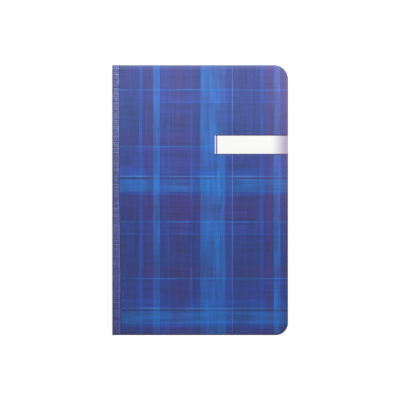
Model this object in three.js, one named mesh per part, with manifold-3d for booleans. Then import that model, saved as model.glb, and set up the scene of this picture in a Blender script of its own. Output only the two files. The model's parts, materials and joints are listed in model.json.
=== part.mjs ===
// A pocket notebook with sewn sections and a cloth spine, lying closed on its back cover.
// Millimetres. X runs from the spine to the fore-edge, Y from tail to head, Z from back to front.
// The origin is the centre of the closed notebook's footprint, on the surface it lies on.
//
// The real thread and the real spine cloth are each one piece that bends. Here they are divided
// where the notebook opens, so that each stiff block carries its own stretch of both.

import * as THREE from 'three';
import { mergeVertices } from 'three/addons/utils/BufferGeometryUtils.js';
import Module from 'manifold-3d';

const wasm = await Module();
wasm.setup();

// Driving dimensions: covers
const bookLength = 170;
const coverWidth = 110.4;
const coverThickness = 0.5;
const headCornerRadius = 8.8;
const tailCornerRadius = 7.8;

// Driving dimensions: leaves and sections
const sectionCount = 6;
const sheetsPerSection = 8;
const paperThickness = 0.095;
const leafGap = 0.005;
const heartGap = 0.15;
const sectionGap = 0.02;
const coverGap = 0.02;
const foldRadius = 0.55;
const trimInset = 0.1;

// Driving dimensions: spine cloth
const clothThickness = 0.25;
const clothFit = 0.02;
const clothCornerRadius = 0.4;
const glueGap = 0.2;
const flapWidthHead = 4.4;
const flapWidthTail = 5.3;
const flapGroove = 0.3;

// Driving dimensions: sewing
const threadWidth = 0.4;
const threadThickness = 0.1;
const threadFit = 0.04;
const legSlimness = 0.01;
const holeLength = 0.6;
const holeHeight = 0.13;
const outerStationFromEnd = 14;
const innerStationFromMiddle = 25;

// Arc steps
const coverCornerSteps = 8;
const leafCornerSteps = 6;
const foldCornerSteps = 2;
const clothCornerSteps = 4;

// Which sections turn together, front to back. The notebook opens between these blocks.
const blocks = [
  { name: 'section_1', sections: [1] },
  { name: 'sections_2_3', sections: [2, 3] },
  { name: 'sections_4_5', sections: [4, 5] },
  { name: 'section_6', sections: [6] },
];

// Sizes that follow from the driving dimensions
const sheetPitch = paperThickness + leafGap;
const sectionHeight = heartGap + 2 * (sheetsPerSection * sheetPitch - leafGap);
const sectionPitch = sectionHeight + sectionGap;
const blockHeight = sectionCount * sectionPitch - sectionGap;
const bookHeight = blockHeight + 2 * (coverGap + coverThickness);
const bookWidth = coverWidth + clothFit + clothThickness;
const spineX = -bookWidth / 2;
const foreEdgeX = bookWidth / 2;
const clothInnerX = spineX + clothThickness;
const coverSpineX = clothInnerX + clothFit;
const foldX = clothInnerX + glueGap;
const headY = bookLength / 2;
const tailY = -bookLength / 2;
const sewingStations = [
  headY - outerStationFromEnd,
  innerStationFromMiddle,
  -innerStationFromMiddle,
  tailY + outerStationFromEnd,
];

// A margin that carries a cutting shape clear of what it cuts
const past = 2;

const paper = new THREE.MeshStandardMaterial({ name: 'paper', color: 0xf3efe4, roughness: 0.9 });
const card = new THREE.MeshStandardMaterial({ name: 'card', color: 0x46569a, roughness: 0.3 });
const cloth = new THREE.MeshStandardMaterial({ name: 'cloth', color: 0x6265a0, roughness: 0.85 });
const thread = new THREE.MeshStandardMaterial({ name: 'thread', color: 0xe9e6dc, roughness: 0.8 });

// Solids: closed three.js geometry to manifold and back

function solidFrom(geometry) {
  const bare = geometry.index ? geometry.toNonIndexed() : geometry;
  bare.deleteAttribute('normal');
  bare.deleteAttribute('uv');
  const merged = mergeVertices(bare, 1e-4);
  return new wasm.Manifold(new wasm.Mesh({
    numProp: 3,
    vertProperties: new Float32Array(merged.attributes.position.array),
    triVerts: new Uint32Array(merged.index.array),
  }));
}

function meshOf(name, solid, material) {
  const { vertProperties, triVerts } = solid.getMesh();
  const geometry = new THREE.BufferGeometry();
  geometry.setAttribute('position', new THREE.BufferAttribute(new Float32Array(vertProperties), 3));
  geometry.setIndex(new THREE.BufferAttribute(new Uint32Array(triVerts), 1));
  geometry.computeVertexNormals();
  const mesh = new THREE.Mesh(geometry, material);
  mesh.name = name;
  return mesh;
}

function box(low, high) {
  const size = high.map((value, i) => value - low[i]);
  const geometry = new THREE.BoxGeometry(...size);
  geometry.translate(...low.map((value, i) => value + size[i] / 2));
  return solidFrom(geometry);
}

// An outline in X and Y, raised from one height to another
function prismXY(points, bottom, top) {
  const geometry = new THREE.ExtrudeGeometry(new THREE.Shape(points), {
    depth: top - bottom,
    bevelEnabled: false,
  });
  geometry.translate(0, 0, bottom);
  return solidFrom(geometry);
}

// A profile in X and Z, run from the tail to the head
function prismXZ(points, tail, head) {
  const geometry = new THREE.ExtrudeGeometry(new THREE.Shape(points), {
    depth: head - tail,
    bevelEnabled: false,
  });
  geometry.rotateX(Math.PI / 2);
  geometry.translate(0, head, 0);
  return solidFrom(geometry);
}

// Points of an arc from one angle to another, both ends included
function arc(centreX, centreY, radius, from, to, steps) {
  return Array.from({ length: steps + 1 }, (_, i) => {
    const angle = from + ((to - from) * i) / steps;
    return new THREE.Vector2(
      centreX + radius * Math.cos(angle),
      centreY + radius * Math.sin(angle),
    );
  });
}

// The trimmed outline: square at the spine, rounded at the fore-edge
function trimOutline(spineEdge, foreEdge, inset, steps) {
  const right = foreEdge - inset;
  const top = headY - inset;
  const bottom = tailY + inset;
  return [
    new THREE.Vector2(spineEdge, bottom),
    ...arc(right - tailCornerRadius, bottom + tailCornerRadius, tailCornerRadius,
      -Math.PI / 2, 0, steps),
    ...arc(right - headCornerRadius, top - headCornerRadius, headCornerRadius,
      0, Math.PI / 2, steps),
    new THREE.Vector2(spineEdge, top),
  ];
}

// The folded sheets

function sectionMiddle(section) {
  const top = coverThickness + coverGap + blockHeight;
  return top - (section - 1) * sectionPitch - sectionHeight / 2;
}

// One side of a U, from the open end of the upper leaf round the fold to the lower leaf
function foldedLine(x, halfHeight, radius, openEnd) {
  const corners = radius > leafGap
    ? [
      ...arc(x + radius, halfHeight - radius, radius, Math.PI / 2, Math.PI, foldCornerSteps),
      ...arc(x + radius, radius - halfHeight, radius, Math.PI, 1.5 * Math.PI, foldCornerSteps),
    ]
    : [new THREE.Vector2(x, halfHeight), new THREE.Vector2(x, -halfHeight)];
  return [
    new THREE.Vector2(openEnd, halfHeight),
    ...corners,
    new THREE.Vector2(openEnd, -halfHeight),
  ];
}

const leafTrim = prismXY(
  trimOutline(clothInnerX, foreEdgeX, trimInset, leafCornerSteps),
  -past,
  bookHeight + past,
);

function foldedSheet(section, sheet) {
  const inset = (sheet - 1) * sheetPitch;
  const outerHalf = sectionHeight / 2 - inset;
  const outerRadius = Math.max(Math.min(foldRadius, sectionHeight / 2) - inset, 0);
  const innerRadius = Math.max(outerRadius - paperThickness, 0);
  const openEnd = foreEdgeX + past;
  const outside = foldedLine(foldX + inset, outerHalf, outerRadius, openEnd);
  const inside = foldedLine(
    foldX + inset + paperThickness, outerHalf - paperThickness, innerRadius, openEnd,
  );
  const middle = sectionMiddle(section);
  const profile = [...outside, ...inside.reverse()].map(
    (p) => new THREE.Vector2(p.x, p.y + middle),
  );
  const holes = sewingStations.map((y) => box(
    [clothInnerX, y - holeLength / 2, middle - holeHeight / 2],
    [foldX + inset + 2 * paperThickness, y + holeLength / 2, middle + holeHeight / 2],
  ));
  return holes.reduce(
    (solid, hole) => solid.subtract(hole),
    prismXZ(profile, tailY - past, headY + past).intersect(leafTrim),
  );
}

// The sewing thread: flat runs in each heart, legs through the holes, runs across the spine

const heartFoldX = foldX + sheetsPerSection * sheetPitch - leafGap;
const innerRunX = heartFoldX + threadFit;
const outerRunX = foldX - threadFit - threadThickness;

function innerRun(middle, from, to) {
  return box(
    [innerRunX, Math.min(from, to) - threadWidth / 2, middle - threadThickness / 2],
    [innerRunX + threadWidth, Math.max(from, to) + threadWidth / 2, middle + threadThickness / 2],
  );
}

// A leg is pulled a touch slimmer than the runs and starts and ends inside them
function leg(middle, y) {
  const halfWidth = threadWidth / 2 - legSlimness;
  const halfThickness = threadThickness / 2 - legSlimness;
  return box(
    [outerRunX + threadThickness / 2, y - halfWidth, middle - halfThickness],
    [innerRunX + threadWidth / 2, y + halfWidth, middle + halfThickness],
  );
}

function outerRun(fromY, toY, fromZ, toZ) {
  return box(
    [outerRunX, Math.min(fromY, toY) - threadWidth / 2, Math.min(fromZ, toZ) - threadWidth / 2],
    [
      outerRunX + threadThickness,
      Math.max(fromY, toY) + threadWidth / 2,
      Math.max(fromZ, toZ) + threadWidth / 2,
    ],
  );
}

function sewing(sections) {
  const [first, second, third, fourth] = sewingStations;
  const runs = sections.flatMap((section) => {
    const middle = sectionMiddle(section);
    return [
      innerRun(middle, first, second),
      innerRun(middle, third, fourth),
      outerRun(second, third, middle, middle),
      ...sewingStations.map((y) => leg(middle, y)),
    ];
  });
  const links = sections.slice(1).map((section, i) => outerRun(
    i % 2 ? first : fourth,
    i % 2 ? first : fourth,
    sectionMiddle(sections[i]),
    sectionMiddle(section),
  ));
  return [...runs, ...links].reduce((solid, run) => solid.add(run));
}

// The spine cloth: an angle on the edge of each cover and a flat strip behind each block

// Where the flap ends on the cover, wider at the tail than at the head
function flapEdge(y) {
  const share = (headY - y) / bookLength;
  return spineX + flapWidthHead + share * (flapWidthTail - flapWidthHead);
}

// The ground that the flap covers, run past both ends, with its long edge moved out by extra
function flapPrism(extra, bottom, top) {
  const low = tailY - past;
  const high = headY + past;
  return prismXY(
    [
      new THREE.Vector2(spineX - past, low),
      new THREE.Vector2(flapEdge(low) + extra, low),
      new THREE.Vector2(flapEdge(high) + extra, high),
      new THREE.Vector2(spineX - past, high),
    ],
    bottom,
    top,
  );
}

// The cloth on the edge of a cover: down the cover's edge, round the corner and onto its face
function clothAngle(front) {
  const radius = Math.min(clothCornerRadius, coverThickness - clothFit);
  const wide = spineX + Math.max(flapWidthHead, flapWidthTail) + past;
  const back = [
    ...arc(spineX + radius, radius, radius, Math.PI, 1.5 * Math.PI, clothCornerSteps),
    new THREE.Vector2(wide, 0),
    new THREE.Vector2(wide, clothThickness),
    new THREE.Vector2(clothInnerX, clothThickness),
    new THREE.Vector2(clothInnerX, coverThickness),
    new THREE.Vector2(spineX, coverThickness),
  ];
  const profile = front ? back.map((p) => new THREE.Vector2(p.x, bookHeight - p.y)) : back;
  return prismXZ(profile, tailY, headY).intersect(flapPrism(0, -past, bookHeight + past));
}

function spineStrip(sections) {
  const top = sectionMiddle(sections[0]) + sectionHeight / 2;
  const bottom = sectionMiddle(sections.at(-1)) - sectionHeight / 2;
  return box([spineX, tailY, bottom], [clothInnerX, headY, top]);
}

// The covers, each with a shallow step pressed along the spine for the cloth

function cover(front) {
  const bottom = front ? bookHeight - coverThickness : 0;
  const stepDepth = clothThickness + clothFit;
  const step = flapPrism(
    flapGroove,
    front ? bookHeight - stepDepth : -past,
    front ? bookHeight + past : stepDepth,
  );
  return prismXY(
    trimOutline(coverSpineX, foreEdgeX, 0, coverCornerSteps), bottom, bottom + coverThickness,
  ).subtract(step);
}

// The assembly, front to back

const notebook = new THREE.Group();
notebook.add(meshOf('front_cover', cover(true), card));
notebook.add(meshOf('cloth_front_flap', clothAngle(true), cloth));
for (const block of blocks) {
  for (const section of block.sections) {
    for (let sheet = 1; sheet <= sheetsPerSection; sheet += 1) {
      notebook.add(meshOf(`section_${section}_sheet_${sheet}`, foldedSheet(section, sheet), paper));
    }
  }
  notebook.add(meshOf(`thread_${block.name}`, sewing(block.sections), thread));
  notebook.add(meshOf(`cloth_spine_${block.name}`, spineStrip(block.sections), cloth));
}
notebook.add(meshOf('cloth_back_flap', clothAngle(false), cloth));
notebook.add(meshOf('back_cover', cover(false), card));

export default notebook;
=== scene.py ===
"""A thread-sewn pocket notebook with a cloth spine and laminated card covers.

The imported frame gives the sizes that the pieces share. Every length here is in millimetres
until a mesh is made, when it becomes metres. X runs from the spine to the fore-edge, Y from
tail to head and Z from back to front.
"""

from __future__ import annotations

import json
import logging
import math
from dataclasses import dataclass, field
from enum import Enum
from functools import cached_property
from typing import Sequence

import bpy
import numpy as np
from numpy.typing import NDArray
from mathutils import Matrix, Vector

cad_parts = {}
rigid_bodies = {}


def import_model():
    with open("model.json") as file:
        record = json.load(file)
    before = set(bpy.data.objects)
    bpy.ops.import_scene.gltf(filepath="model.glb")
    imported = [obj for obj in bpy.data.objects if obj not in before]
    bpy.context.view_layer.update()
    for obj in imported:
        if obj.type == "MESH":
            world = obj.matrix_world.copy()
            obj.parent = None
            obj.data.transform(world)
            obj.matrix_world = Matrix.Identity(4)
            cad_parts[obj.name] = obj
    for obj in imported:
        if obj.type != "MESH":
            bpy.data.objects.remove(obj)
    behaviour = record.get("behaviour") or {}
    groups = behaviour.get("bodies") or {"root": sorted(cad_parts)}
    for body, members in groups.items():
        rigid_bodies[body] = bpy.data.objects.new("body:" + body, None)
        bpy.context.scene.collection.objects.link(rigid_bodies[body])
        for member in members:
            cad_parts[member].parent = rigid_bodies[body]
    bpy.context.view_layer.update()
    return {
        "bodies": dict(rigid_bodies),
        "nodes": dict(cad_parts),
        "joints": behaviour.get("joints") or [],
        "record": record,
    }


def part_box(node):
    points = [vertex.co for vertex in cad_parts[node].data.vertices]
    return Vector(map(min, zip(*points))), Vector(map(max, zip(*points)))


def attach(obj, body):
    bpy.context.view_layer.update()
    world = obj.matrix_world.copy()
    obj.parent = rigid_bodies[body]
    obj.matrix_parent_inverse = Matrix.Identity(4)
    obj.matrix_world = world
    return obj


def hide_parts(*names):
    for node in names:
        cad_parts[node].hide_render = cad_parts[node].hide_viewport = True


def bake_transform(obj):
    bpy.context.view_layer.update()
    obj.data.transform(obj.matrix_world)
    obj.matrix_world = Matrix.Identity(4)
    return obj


Array = NDArray[np.float64]
IntArray = NDArray[np.int64]
Triple = tuple[float, float, float]
Colour = Triple
Socket = bpy.types.NodeSocket
Value = Socket | float
Fed = Value | Sequence[float]

LOG = logging.getLogger("notebook")
METRES_PER_MM = 0.001
MM_PER_METRE = 1000.0
SECTION_COUNT = 6
TONE_ATTRIBUTE = "tone"
NOISE_RANGE = (0.3, 0.7)


def srgb(red: float, green: float, blue: float) -> Colour:
    """Turns screen values from 0 to 255 into the linear values that shaders use.

    Args:
        red: Red on the screen.
        green: Green on the screen.
        blue: Blue on the screen.

    Returns:
        The linear colour, by the sRGB curve: a straight toe, then a power of 2.4.
    """
    shares = (red / 255, green / 255, blue / 255)
    toe_end = 0.04045
    linear = [s / 12.92 if s <= toe_end else ((s + 0.055) / 1.055) ** 2.4 for s in shares]
    return (linear[0], linear[1], linear[2])


def smoothstep(values: Array) -> Array:
    """Rises from 0 to 1 with level ends, and holds them: 3 t squared less 2 t cubed."""
    held = np.clip(values, 0.0, 1.0)
    return held * held * (3 - 2 * held)


def bell(distance: Array, spread: float | Array) -> Array:
    """Gives a bell curve: the exponential of less the square of distance over spread."""
    return np.exp(-((distance / spread) ** 2))


# Meshes


@dataclass
class Surface:
    """The points and faces of one closed piece, before it becomes a mesh.

    Attributes:
        points: Places in millimetres, one row each.
        faces: Blocks of faces, each with the same number of corners.
        finishes: The finish number of each face, one array for each block.
        tones: An optional shade for each point, from 0 to 1.
    """

    points: Array
    faces: list[IntArray]
    finishes: list[IntArray]
    tones: Array | None = None


def make_piece(name: str, surface: Surface, materials: Sequence[bpy.types.Material],
               crease_deg: float = 40.0) -> bpy.types.Object:
    """Makes a shaded object at the origin from a surface.

    Args:
        name: The piece's name.
        surface: The piece's shape.
        materials: Its finishes, in the order of the surface's finish numbers.
        crease_deg: The angle between faces above which an edge stays sharp.

    Returns:
        The new object, linked to the scene.
    """
    corner_counts = np.concatenate([np.full(len(f), f.shape[1]) for f in surface.faces])
    loop_points = np.concatenate([f.ravel() for f in surface.faces])
    starts = np.concatenate([[0], np.cumsum(corner_counts)[:-1]])
    mesh = bpy.data.meshes.new(name)
    mesh.vertices.add(len(surface.points))
    metres = (surface.points * METRES_PER_MM).astype(np.float32)
    mesh.vertices.foreach_set("co", metres.ravel())
    mesh.loops.add(len(loop_points))
    mesh.loops.foreach_set("vertex_index", loop_points.astype(np.int32))
    mesh.polygons.add(len(starts))
    mesh.polygons.foreach_set("loop_start", starts.astype(np.int32))
    finishes = np.concatenate(surface.finishes)
    mesh.polygons.foreach_set("material_index", finishes.astype(np.int32))
    for material in materials:
        mesh.materials.append(material)
    mesh.update(calc_edges=True)
    mesh.shade_smooth()
    mesh.set_sharp_from_angle(angle=math.radians(crease_deg))
    if surface.tones is not None:
        attribute = mesh.attributes.new(TONE_ATTRIBUTE, "FLOAT", "POINT")
        attribute.data.foreach_set("value", surface.tones.astype(np.float32))
    piece = bpy.data.objects.new(name, mesh)
    bpy.context.scene.collection.objects.link(piece)
    return piece


def grid_quads(index: IntArray) -> IntArray:
    """Joins a grid of point numbers into quads that face the product of column and row."""
    around = [index[:-1, :-1], index[:-1, 1:], index[1:, 1:], index[1:, :-1]]
    return np.stack(around, axis=-1).reshape(-1, 4)


def in_rows(x: Array, y: Array, z: Array) -> Array:
    """Joins coordinates into rows by columns by three, of which Y has one value a row."""
    return np.stack(np.broadcast_arrays(x, y[:, None], z), axis=2)


def carried_loop(loops: Array, column_finish: IntArray, end_finish: int) -> Surface:
    """Skins closed loops that are carried from tail to head, and fills both ends.

    Neighbouring loops are joined by a ring of quads. The loops run clockwise in X and Z, so
    that every face points out.

    Args:
        loops: Loops by points by coordinates.
        column_finish: The finish number of the strip that follows each point of a loop.
        end_finish: The finish number of the two ends.

    Returns:
        The closed surface.
    """
    rows, count, _ = loops.shape
    index = np.arange(rows * count).reshape(rows, count)
    wrapped = np.concatenate([index, index[:, :1]], axis=1)
    ends = np.stack([index[0][::-1], index[-1]])
    return Surface(
        points=loops.reshape(-1, 3),
        faces=[grid_quads(wrapped), ends],
        finishes=[np.tile(column_finish, rows - 1), np.full(2, end_finish)],
    )


def mitred_normals(outline: Array) -> Array:
    """Finds the outward offset at each point of a closed outline that runs anticlockwise.

    The offset is the sum of the two neighbouring edges' normals, divided by one more than
    their product, which carries both edges out by the same distance.

    Args:
        outline: Points in X and Y, one row each.

    Returns:
        One offset for each point.
    """
    edges = np.roll(outline, -1, axis=0) - outline
    edges /= np.linalg.norm(edges, axis=1, keepdims=True)
    after = np.stack([edges[:, 1], -edges[:, 0]], axis=1)
    before = np.roll(after, 1, axis=0)
    product = np.sum(before * after, axis=1, keepdims=True)
    return (before + after) / (1 + product)


# The frame's sizes


def box_mm(node: str) -> tuple[Array, Array]:
    """Gives a CAD node's lowest and highest corners, in millimetres."""
    low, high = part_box(node)
    return np.array(low) * MM_PER_METRE, np.array(high) * MM_PER_METRE


@dataclass(frozen=True)
class Section:
    """One sewn section of the frame.

    Attributes:
        number: 1 at the front to the last at the back.
        body: The body that it rides on.
        fold_x: Where its outermost fold lies.
        low: Its lowest height.
        high: Its greatest height.
    """

    number: int
    body: str
    fold_x: float
    low: float
    high: float

    @property
    def middle(self) -> float:
        """The height of the section's heart."""
        return (self.low + self.high) / 2


@dataclass(frozen=True)
class Book:
    """The sizes that the pieces share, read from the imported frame.

    Attributes:
        spine_x: The outer face of the spine cloth.
        cloth_inner_x: The inner face of the spine cloth.
        cover_spine_x: The covers' edge along the spine.
        fore_x: The covers' fore-edge.
        tail_y: The tail edge.
        head_y: The head edge.
        height: The closed notebook's thickness.
        cover_thickness: The thickness of one cover.
        sections: The sewn sections, front to back.
    """

    spine_x: float
    cloth_inner_x: float
    cover_spine_x: float
    fore_x: float
    tail_y: float
    head_y: float
    height: float
    cover_thickness: float
    sections: tuple[Section, ...]

    @property
    def length(self) -> float:
        """The length from tail to head."""
        return self.head_y - self.tail_y

    @property
    def cloth_thickness(self) -> float:
        """The thickness of the spine cloth."""
        return self.cloth_inner_x - self.spine_x

    @property
    def blocks(self) -> list[list[Section]]:
        """The sections that turn together, front to back."""
        bodies = dict.fromkeys(section.body for section in self.sections)
        return [[s for s in self.sections if s.body == body] for body in bodies]

    @staticmethod
    def from_frame(frame: dict) -> Book:
        """Reads the shared sizes from the frame.


        Returns:
            The sizes in millimetres.
        """
        cover_low, cover_high = box_mm("front_cover")
        cloth_low, cloth_high = box_mm("cloth_spine_section_1")
        bodies = frame["record"]["behaviour"]["bodies"]
        sections = []
        for number in range(1, SECTION_COUNT + 1):
            node = f"section_{number}_sheet_1"
            low, high = box_mm(node)
            body = next(name for name, members in bodies.items() if node in members)
            sections.append(Section(number, body, low[0], low[2], high[2]))
        return Book(
            spine_x=cloth_low[0],
            cloth_inner_x=cloth_high[0],
            cover_spine_x=cover_low[0],
            fore_x=cover_high[0],
            tail_y=cover_low[1],
            head_y=cover_high[1],
            height=cover_high[2],
            cover_thickness=cover_high[2] - cover_low[2],
            sections=tuple(sections),
        )


@dataclass(frozen=True)
class TrimOutline:
    """The trimmed outline: square at the spine and rounded at the fore-edge."""

    spine_x: float
    fore_x: float
    tail_y: float
    head_y: float
    tail_radius: float
    head_radius: float

    def inset(self, distance: float) -> TrimOutline:
        """Gives the outline drawn in by a distance on every side.

        Args:
            distance: How far in.

        Returns:
            The smaller outline.
        """
        return TrimOutline(
            self.spine_x + distance,
            self.fore_x - distance,
            self.tail_y + distance,
            self.head_y - distance,
            self.tail_radius - distance,
            self.head_radius - distance,
        )

    def rows(self, corner_steps: int, straight_steps: int) -> tuple[Array, Array]:
        """Gives rows from tail to head, and how far each reaches to the fore-edge.

        On a corner of radius r, a row at the angle a from the corner's start lies at
        r times one less the cosine from the edge, and reaches r times one less the sine
        short of the fore-edge.

        Args:
            corner_steps: Steps on each rounded corner.
            straight_steps: Steps between the corners.

        Returns:
            The rows' Y and their greatest X.
        """
        angle = np.linspace(0.0, math.pi / 2, corner_steps + 1)
        tail = self.tail_y + self.tail_radius * (1 - np.cos(angle))
        tail_reach = self.fore_x - self.tail_radius * (1 - np.sin(angle))
        head = self.head_y - self.head_radius * (1 - np.cos(angle[::-1]))
        head_reach = self.fore_x - self.head_radius * (1 - np.sin(angle[::-1]))
        straight = np.linspace(tail[-1], head[0], straight_steps + 1)[1:-1]
        full_reach = np.full(len(straight), self.fore_x)
        y = np.concatenate([tail, straight, head])
        return y, np.concatenate([tail_reach, full_reach, head_reach])


@dataclass(frozen=True)
class ClothFlap:
    """The part of the cloth that is turned onto a cover, a little wider at the tail.

    Attributes:
        width_head: Its width at the head, from the spine.
        width_tail: Its width at the tail.
        straight_share: The share of its length, from the head, that keeps one width.
        groove: The gap between its edge and the printed face.
    """

    width_head: float = 4.2
    width_tail: float = 5.2
    straight_share: float = 0.47
    groove: float = 0.32

    def width(self, book: Book, y: Array) -> Array:
        """Gives the flap's width at each place along the spine.

        Below its straight share it grows by the sine of a quarter turn, to the tail.

        Args:
            book: The shared sizes.
            y: Places between tail and head.

        Returns:
            Widths from the spine's outer face.
        """
        share = (book.head_y - y) / book.length
        below = np.clip((share - self.straight_share) / (1 - self.straight_share), 0.0, 1.0)
        growth = np.sin(below * math.pi / 2)
        return self.width_head + growth * (self.width_tail - self.width_head)


@dataclass(frozen=True)
class SewingPlan:
    """Where the thread runs, and how flat it is pressed.

    Attributes:
        outer_x: The middle of its runs along the spine.
        inner_x: The middle of its runs in the hearts.
        stations: Where it goes through the folds, head to tail.
        width: Its width.
        thickness: Its thickness.
    """

    outer_x: float
    inner_x: float
    stations: tuple[float, float, float, float]
    width: float
    thickness: float

    @staticmethod
    def from_frame() -> SewingPlan:
        """Reads the plan from the first section's thread in the frame.

        Returns:
            The plan in millimetres.
        """
        width, thickness, inner_station = 0.4, 0.1, 25.0
        low, high = box_mm("thread_section_1")
        outer_station = high[1] - width / 2
        return SewingPlan(
            outer_x=low[0] + thickness / 2,
            inner_x=high[0] - width / 2,
            stations=(outer_station, inner_station, -inner_station, -outer_station),
            width=width,
            thickness=thickness,
        )


# Materials


@dataclass(frozen=True)
class Grain:
    """Soft noise over an object's coordinates.

    Attributes:
        scale: How many features lie in a millimetre along X, Y and Z.
        detail: How many finer octaves are laid over it.
        roughness: How strong the finer octaves are.
        shift: What is added to the scaled coordinates.
    """

    scale: Triple
    detail: float = 2.0
    roughness: float = 0.5
    shift: Triple = (0.0, 0.0, 0.0)


class Nodes:
    """A node tree, with one short method for each kind of step."""

    def __init__(self, tree: bpy.types.NodeTree) -> None:
        """Starts with the tree that the steps are added to."""
        self.tree = tree

    def feed(self, socket: Socket, value: Fed) -> None:
        """Links a socket to another, or sets its own value.

        Args:
            socket: The input to feed.
            value: A socket, a number, a vector or a colour.
        """
        if isinstance(value, bpy.types.NodeSocket):
            self.tree.links.new(value, socket)
        elif isinstance(value, tuple) and len(value) == 3 and socket.type == "RGBA":
            socket.default_value = (*value, 1.0)
        else:
            socket.default_value = value

    def add(self, kind: str, feeds: dict[int | str, Fed], **settings: str) -> bpy.types.Node:
        """Adds one node.

        Args:
            kind: Its type, without the word that every shader node's type starts with.
            feeds: What its inputs are fed, by their names or numbers.
            **settings: Its own settings, made before the inputs are fed.

        Returns:
            The node.
        """
        node = self.tree.nodes.new(f"ShaderNode{kind}")
        for name, setting in settings.items():
            setattr(node, name, setting)
        for name, value in feeds.items():
            self.feed(node.inputs[name], value)
        return node

    def math(self, operation: str, first: Value, second: Value = 0.0) -> Socket:
        """Adds one arithmetic step, by Blender's name for it."""
        return self.add("Math", {0: first, 1: second}, operation=operation).outputs[0]

    def rescale(self, value: Socket, low: Value, high: Value, to_low: float = 0.0,
                to_high: float = 1.0) -> Socket:
        """Carries one range smoothly onto another and holds the ends.

        Args:
            value: What is carried.
            low: Where the source range starts.
            high: Where it ends.
            to_low: Where the target range starts.
            to_high: Where it ends.

        Returns:
            The value in the target range.
        """
        feeds = {
            "Value": value, "From Min": low, "From Max": high, "To Min": to_low, "To Max": to_high,
        }
        return self.add("MapRange", feeds, interpolation_type="SMOOTHSTEP").outputs["Result"]

    def seen(self) -> Socket:
        """Gives 1 for rays by which the eye sees a surface: direct, mirrored or refracted.

        Returns:
            The share, which is 0 for all other rays.
        """
        path = self.add("LightPath", {}).outputs
        mirrored = self.math("MAXIMUM", path["Is Camera Ray"], path["Is Glossy Ray"])
        return self.math("MAXIMUM", mirrored, path["Is Transmission Ray"])


class NodeCanvas(Nodes):
    """A material's node tree, with its shader and the object's coordinates."""

    def __init__(self, name: str) -> None:
        """Starts a material that has a shader and an output.

        Args:
            name: The material's name.
        """
        self.material = bpy.data.materials.new(name)
        self.material.use_nodes = True
        super().__init__(self.material.node_tree)
        self.tree.nodes.clear()
        self.shader = self.add("BsdfPrincipled", {})
        self.add("OutputMaterial", {"Surface": self.shader.outputs["BSDF"]})

    def set(self, **inputs: Fed) -> None:
        """Feeds the shader's inputs, named in words joined by underscores.

        Args:
            **inputs: Values or sockets by input name.
        """
        sockets = {i.name.lower().replace(" ", "_"): i for i in self.shader.inputs}
        for words, value in inputs.items():
            self.feed(sockets[words], value)

    @cached_property
    def place(self) -> Socket:
        """The object's own coordinates, in millimetres."""
        return self.gain(self.add("TexCoord", {}).outputs["Object"], MM_PER_METRE)

    @cached_property
    def flat_place(self) -> tuple[Socket, Socket]:
        """The coordinates' X and Y."""
        outputs = self.add("SeparateXYZ", {0: self.place}).outputs
        return outputs["X"], outputs["Y"]

    def tone(self) -> Socket:
        """Gives the shade that is stored at each point of the mesh."""
        return self.add("Attribute", {}, attribute_name=TONE_ATTRIBUTE).outputs["Fac"]

    def noise(self, grain: Grain) -> Socket:
        """Adds soft noise.

        Args:
            grain: How coarse and how fine it is.

        Returns:
            A value around one half.
        """
        feeds = {0: self.place, "Scale": grain.scale, "Location": grain.shift}
        stretched = self.add("Mapping", feeds).outputs[0]
        feeds = {
            "Vector": stretched, "Scale": 1.0,
            "Detail": grain.detail, "Roughness": grain.roughness,
        }
        return self.add("TexNoise", feeds).outputs["Fac"]

    def cells(self, steps: Triple) -> Socket:
        """Gives one random value for each cell of a grid.

        Args:
            steps: The grid's steps along X, Y and Z.

        Returns:
            The value, from 0 to 1.
        """
        snapped = self.add("VectorMath", {0: self.place, 1: steps}, operation="SNAP").outputs[0]
        return self.add(
            "TexWhiteNoise", {"Vector": snapped}, noise_dimensions="3D"
        ).outputs["Value"]

    def spread(self, noise: Socket, to_low: float = 0.0, to_high: float = 1.0) -> Socket:
        """Carries the range that soft noise mostly keeps to onto another."""
        return self.rescale(noise, *NOISE_RANGE, to_low, to_high)

    def between(self, value: Socket, low: float, high: float) -> Socket:
        """Gives 1 where a value lies between two limits, and 0 elsewhere."""
        above = self.math("GREATER_THAN", value, low)
        return self.math("MULTIPLY", above, self.math("LESS_THAN", value, high))

    def ramp(self, factor: Socket, stops: Sequence[tuple[float, Colour]],
             stepped: bool = False) -> Socket:
        """Looks a colour up on a ramp.

        Args:
            factor: Where to look, from 0 to 1.
            stops: Places and colours, in rising order.
            stepped: Whether each colour holds until the next stop.

        Returns:
            The colour.
        """
        node = self.add("ValToRGB", {"Fac": factor})
        node.color_ramp.interpolation = "CONSTANT" if stepped else "LINEAR"
        elements = node.color_ramp.elements
        while len(elements) < len(stops):
            elements.new(1.0)
        for element, (position, colour) in zip(elements, stops):
            element.position = position
            element.color = (*colour, 1.0)
        return node.outputs["Color"]

    def mix(self, factor: Value, first: Socket | Colour, second: Socket | Colour,
            blend: str = "MIX") -> Socket:
        """Mixes two colours.

        Args:
            factor: The share of the second.
            first: The first colour.
            second: The second colour.
            blend: Blender's name for how they mix.

        Returns:
            The mixed colour.
        """
        node = self.add("Mix", {0: factor}, data_type="RGBA", blend_type=blend)
        colours = (i for i in node.inputs if i.type == "RGBA")
        for socket, colour in zip(colours, (first, second)):
            self.feed(socket, colour)
        return next(o for o in node.outputs if o.type == "RGBA")

    def gain(self, vector: Socket, factor: Value) -> Socket:
        """Multiplies a colour or a vector by a factor."""
        return self.add("VectorMath", {0: vector, "Scale": factor}, operation="SCALE").outputs[0]

    def relief(self, height: Socket, depth: float, strength: float = 1.0) -> None:
        """Gives the shader a bump of a depth in millimetres, of which a share shows."""
        feeds = {"Height": height, "Distance": depth * METRES_PER_MM, "Strength": strength}
        self.feed(self.shader.inputs["Normal"], self.add("Bump", feeds).outputs["Normal"])


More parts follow.
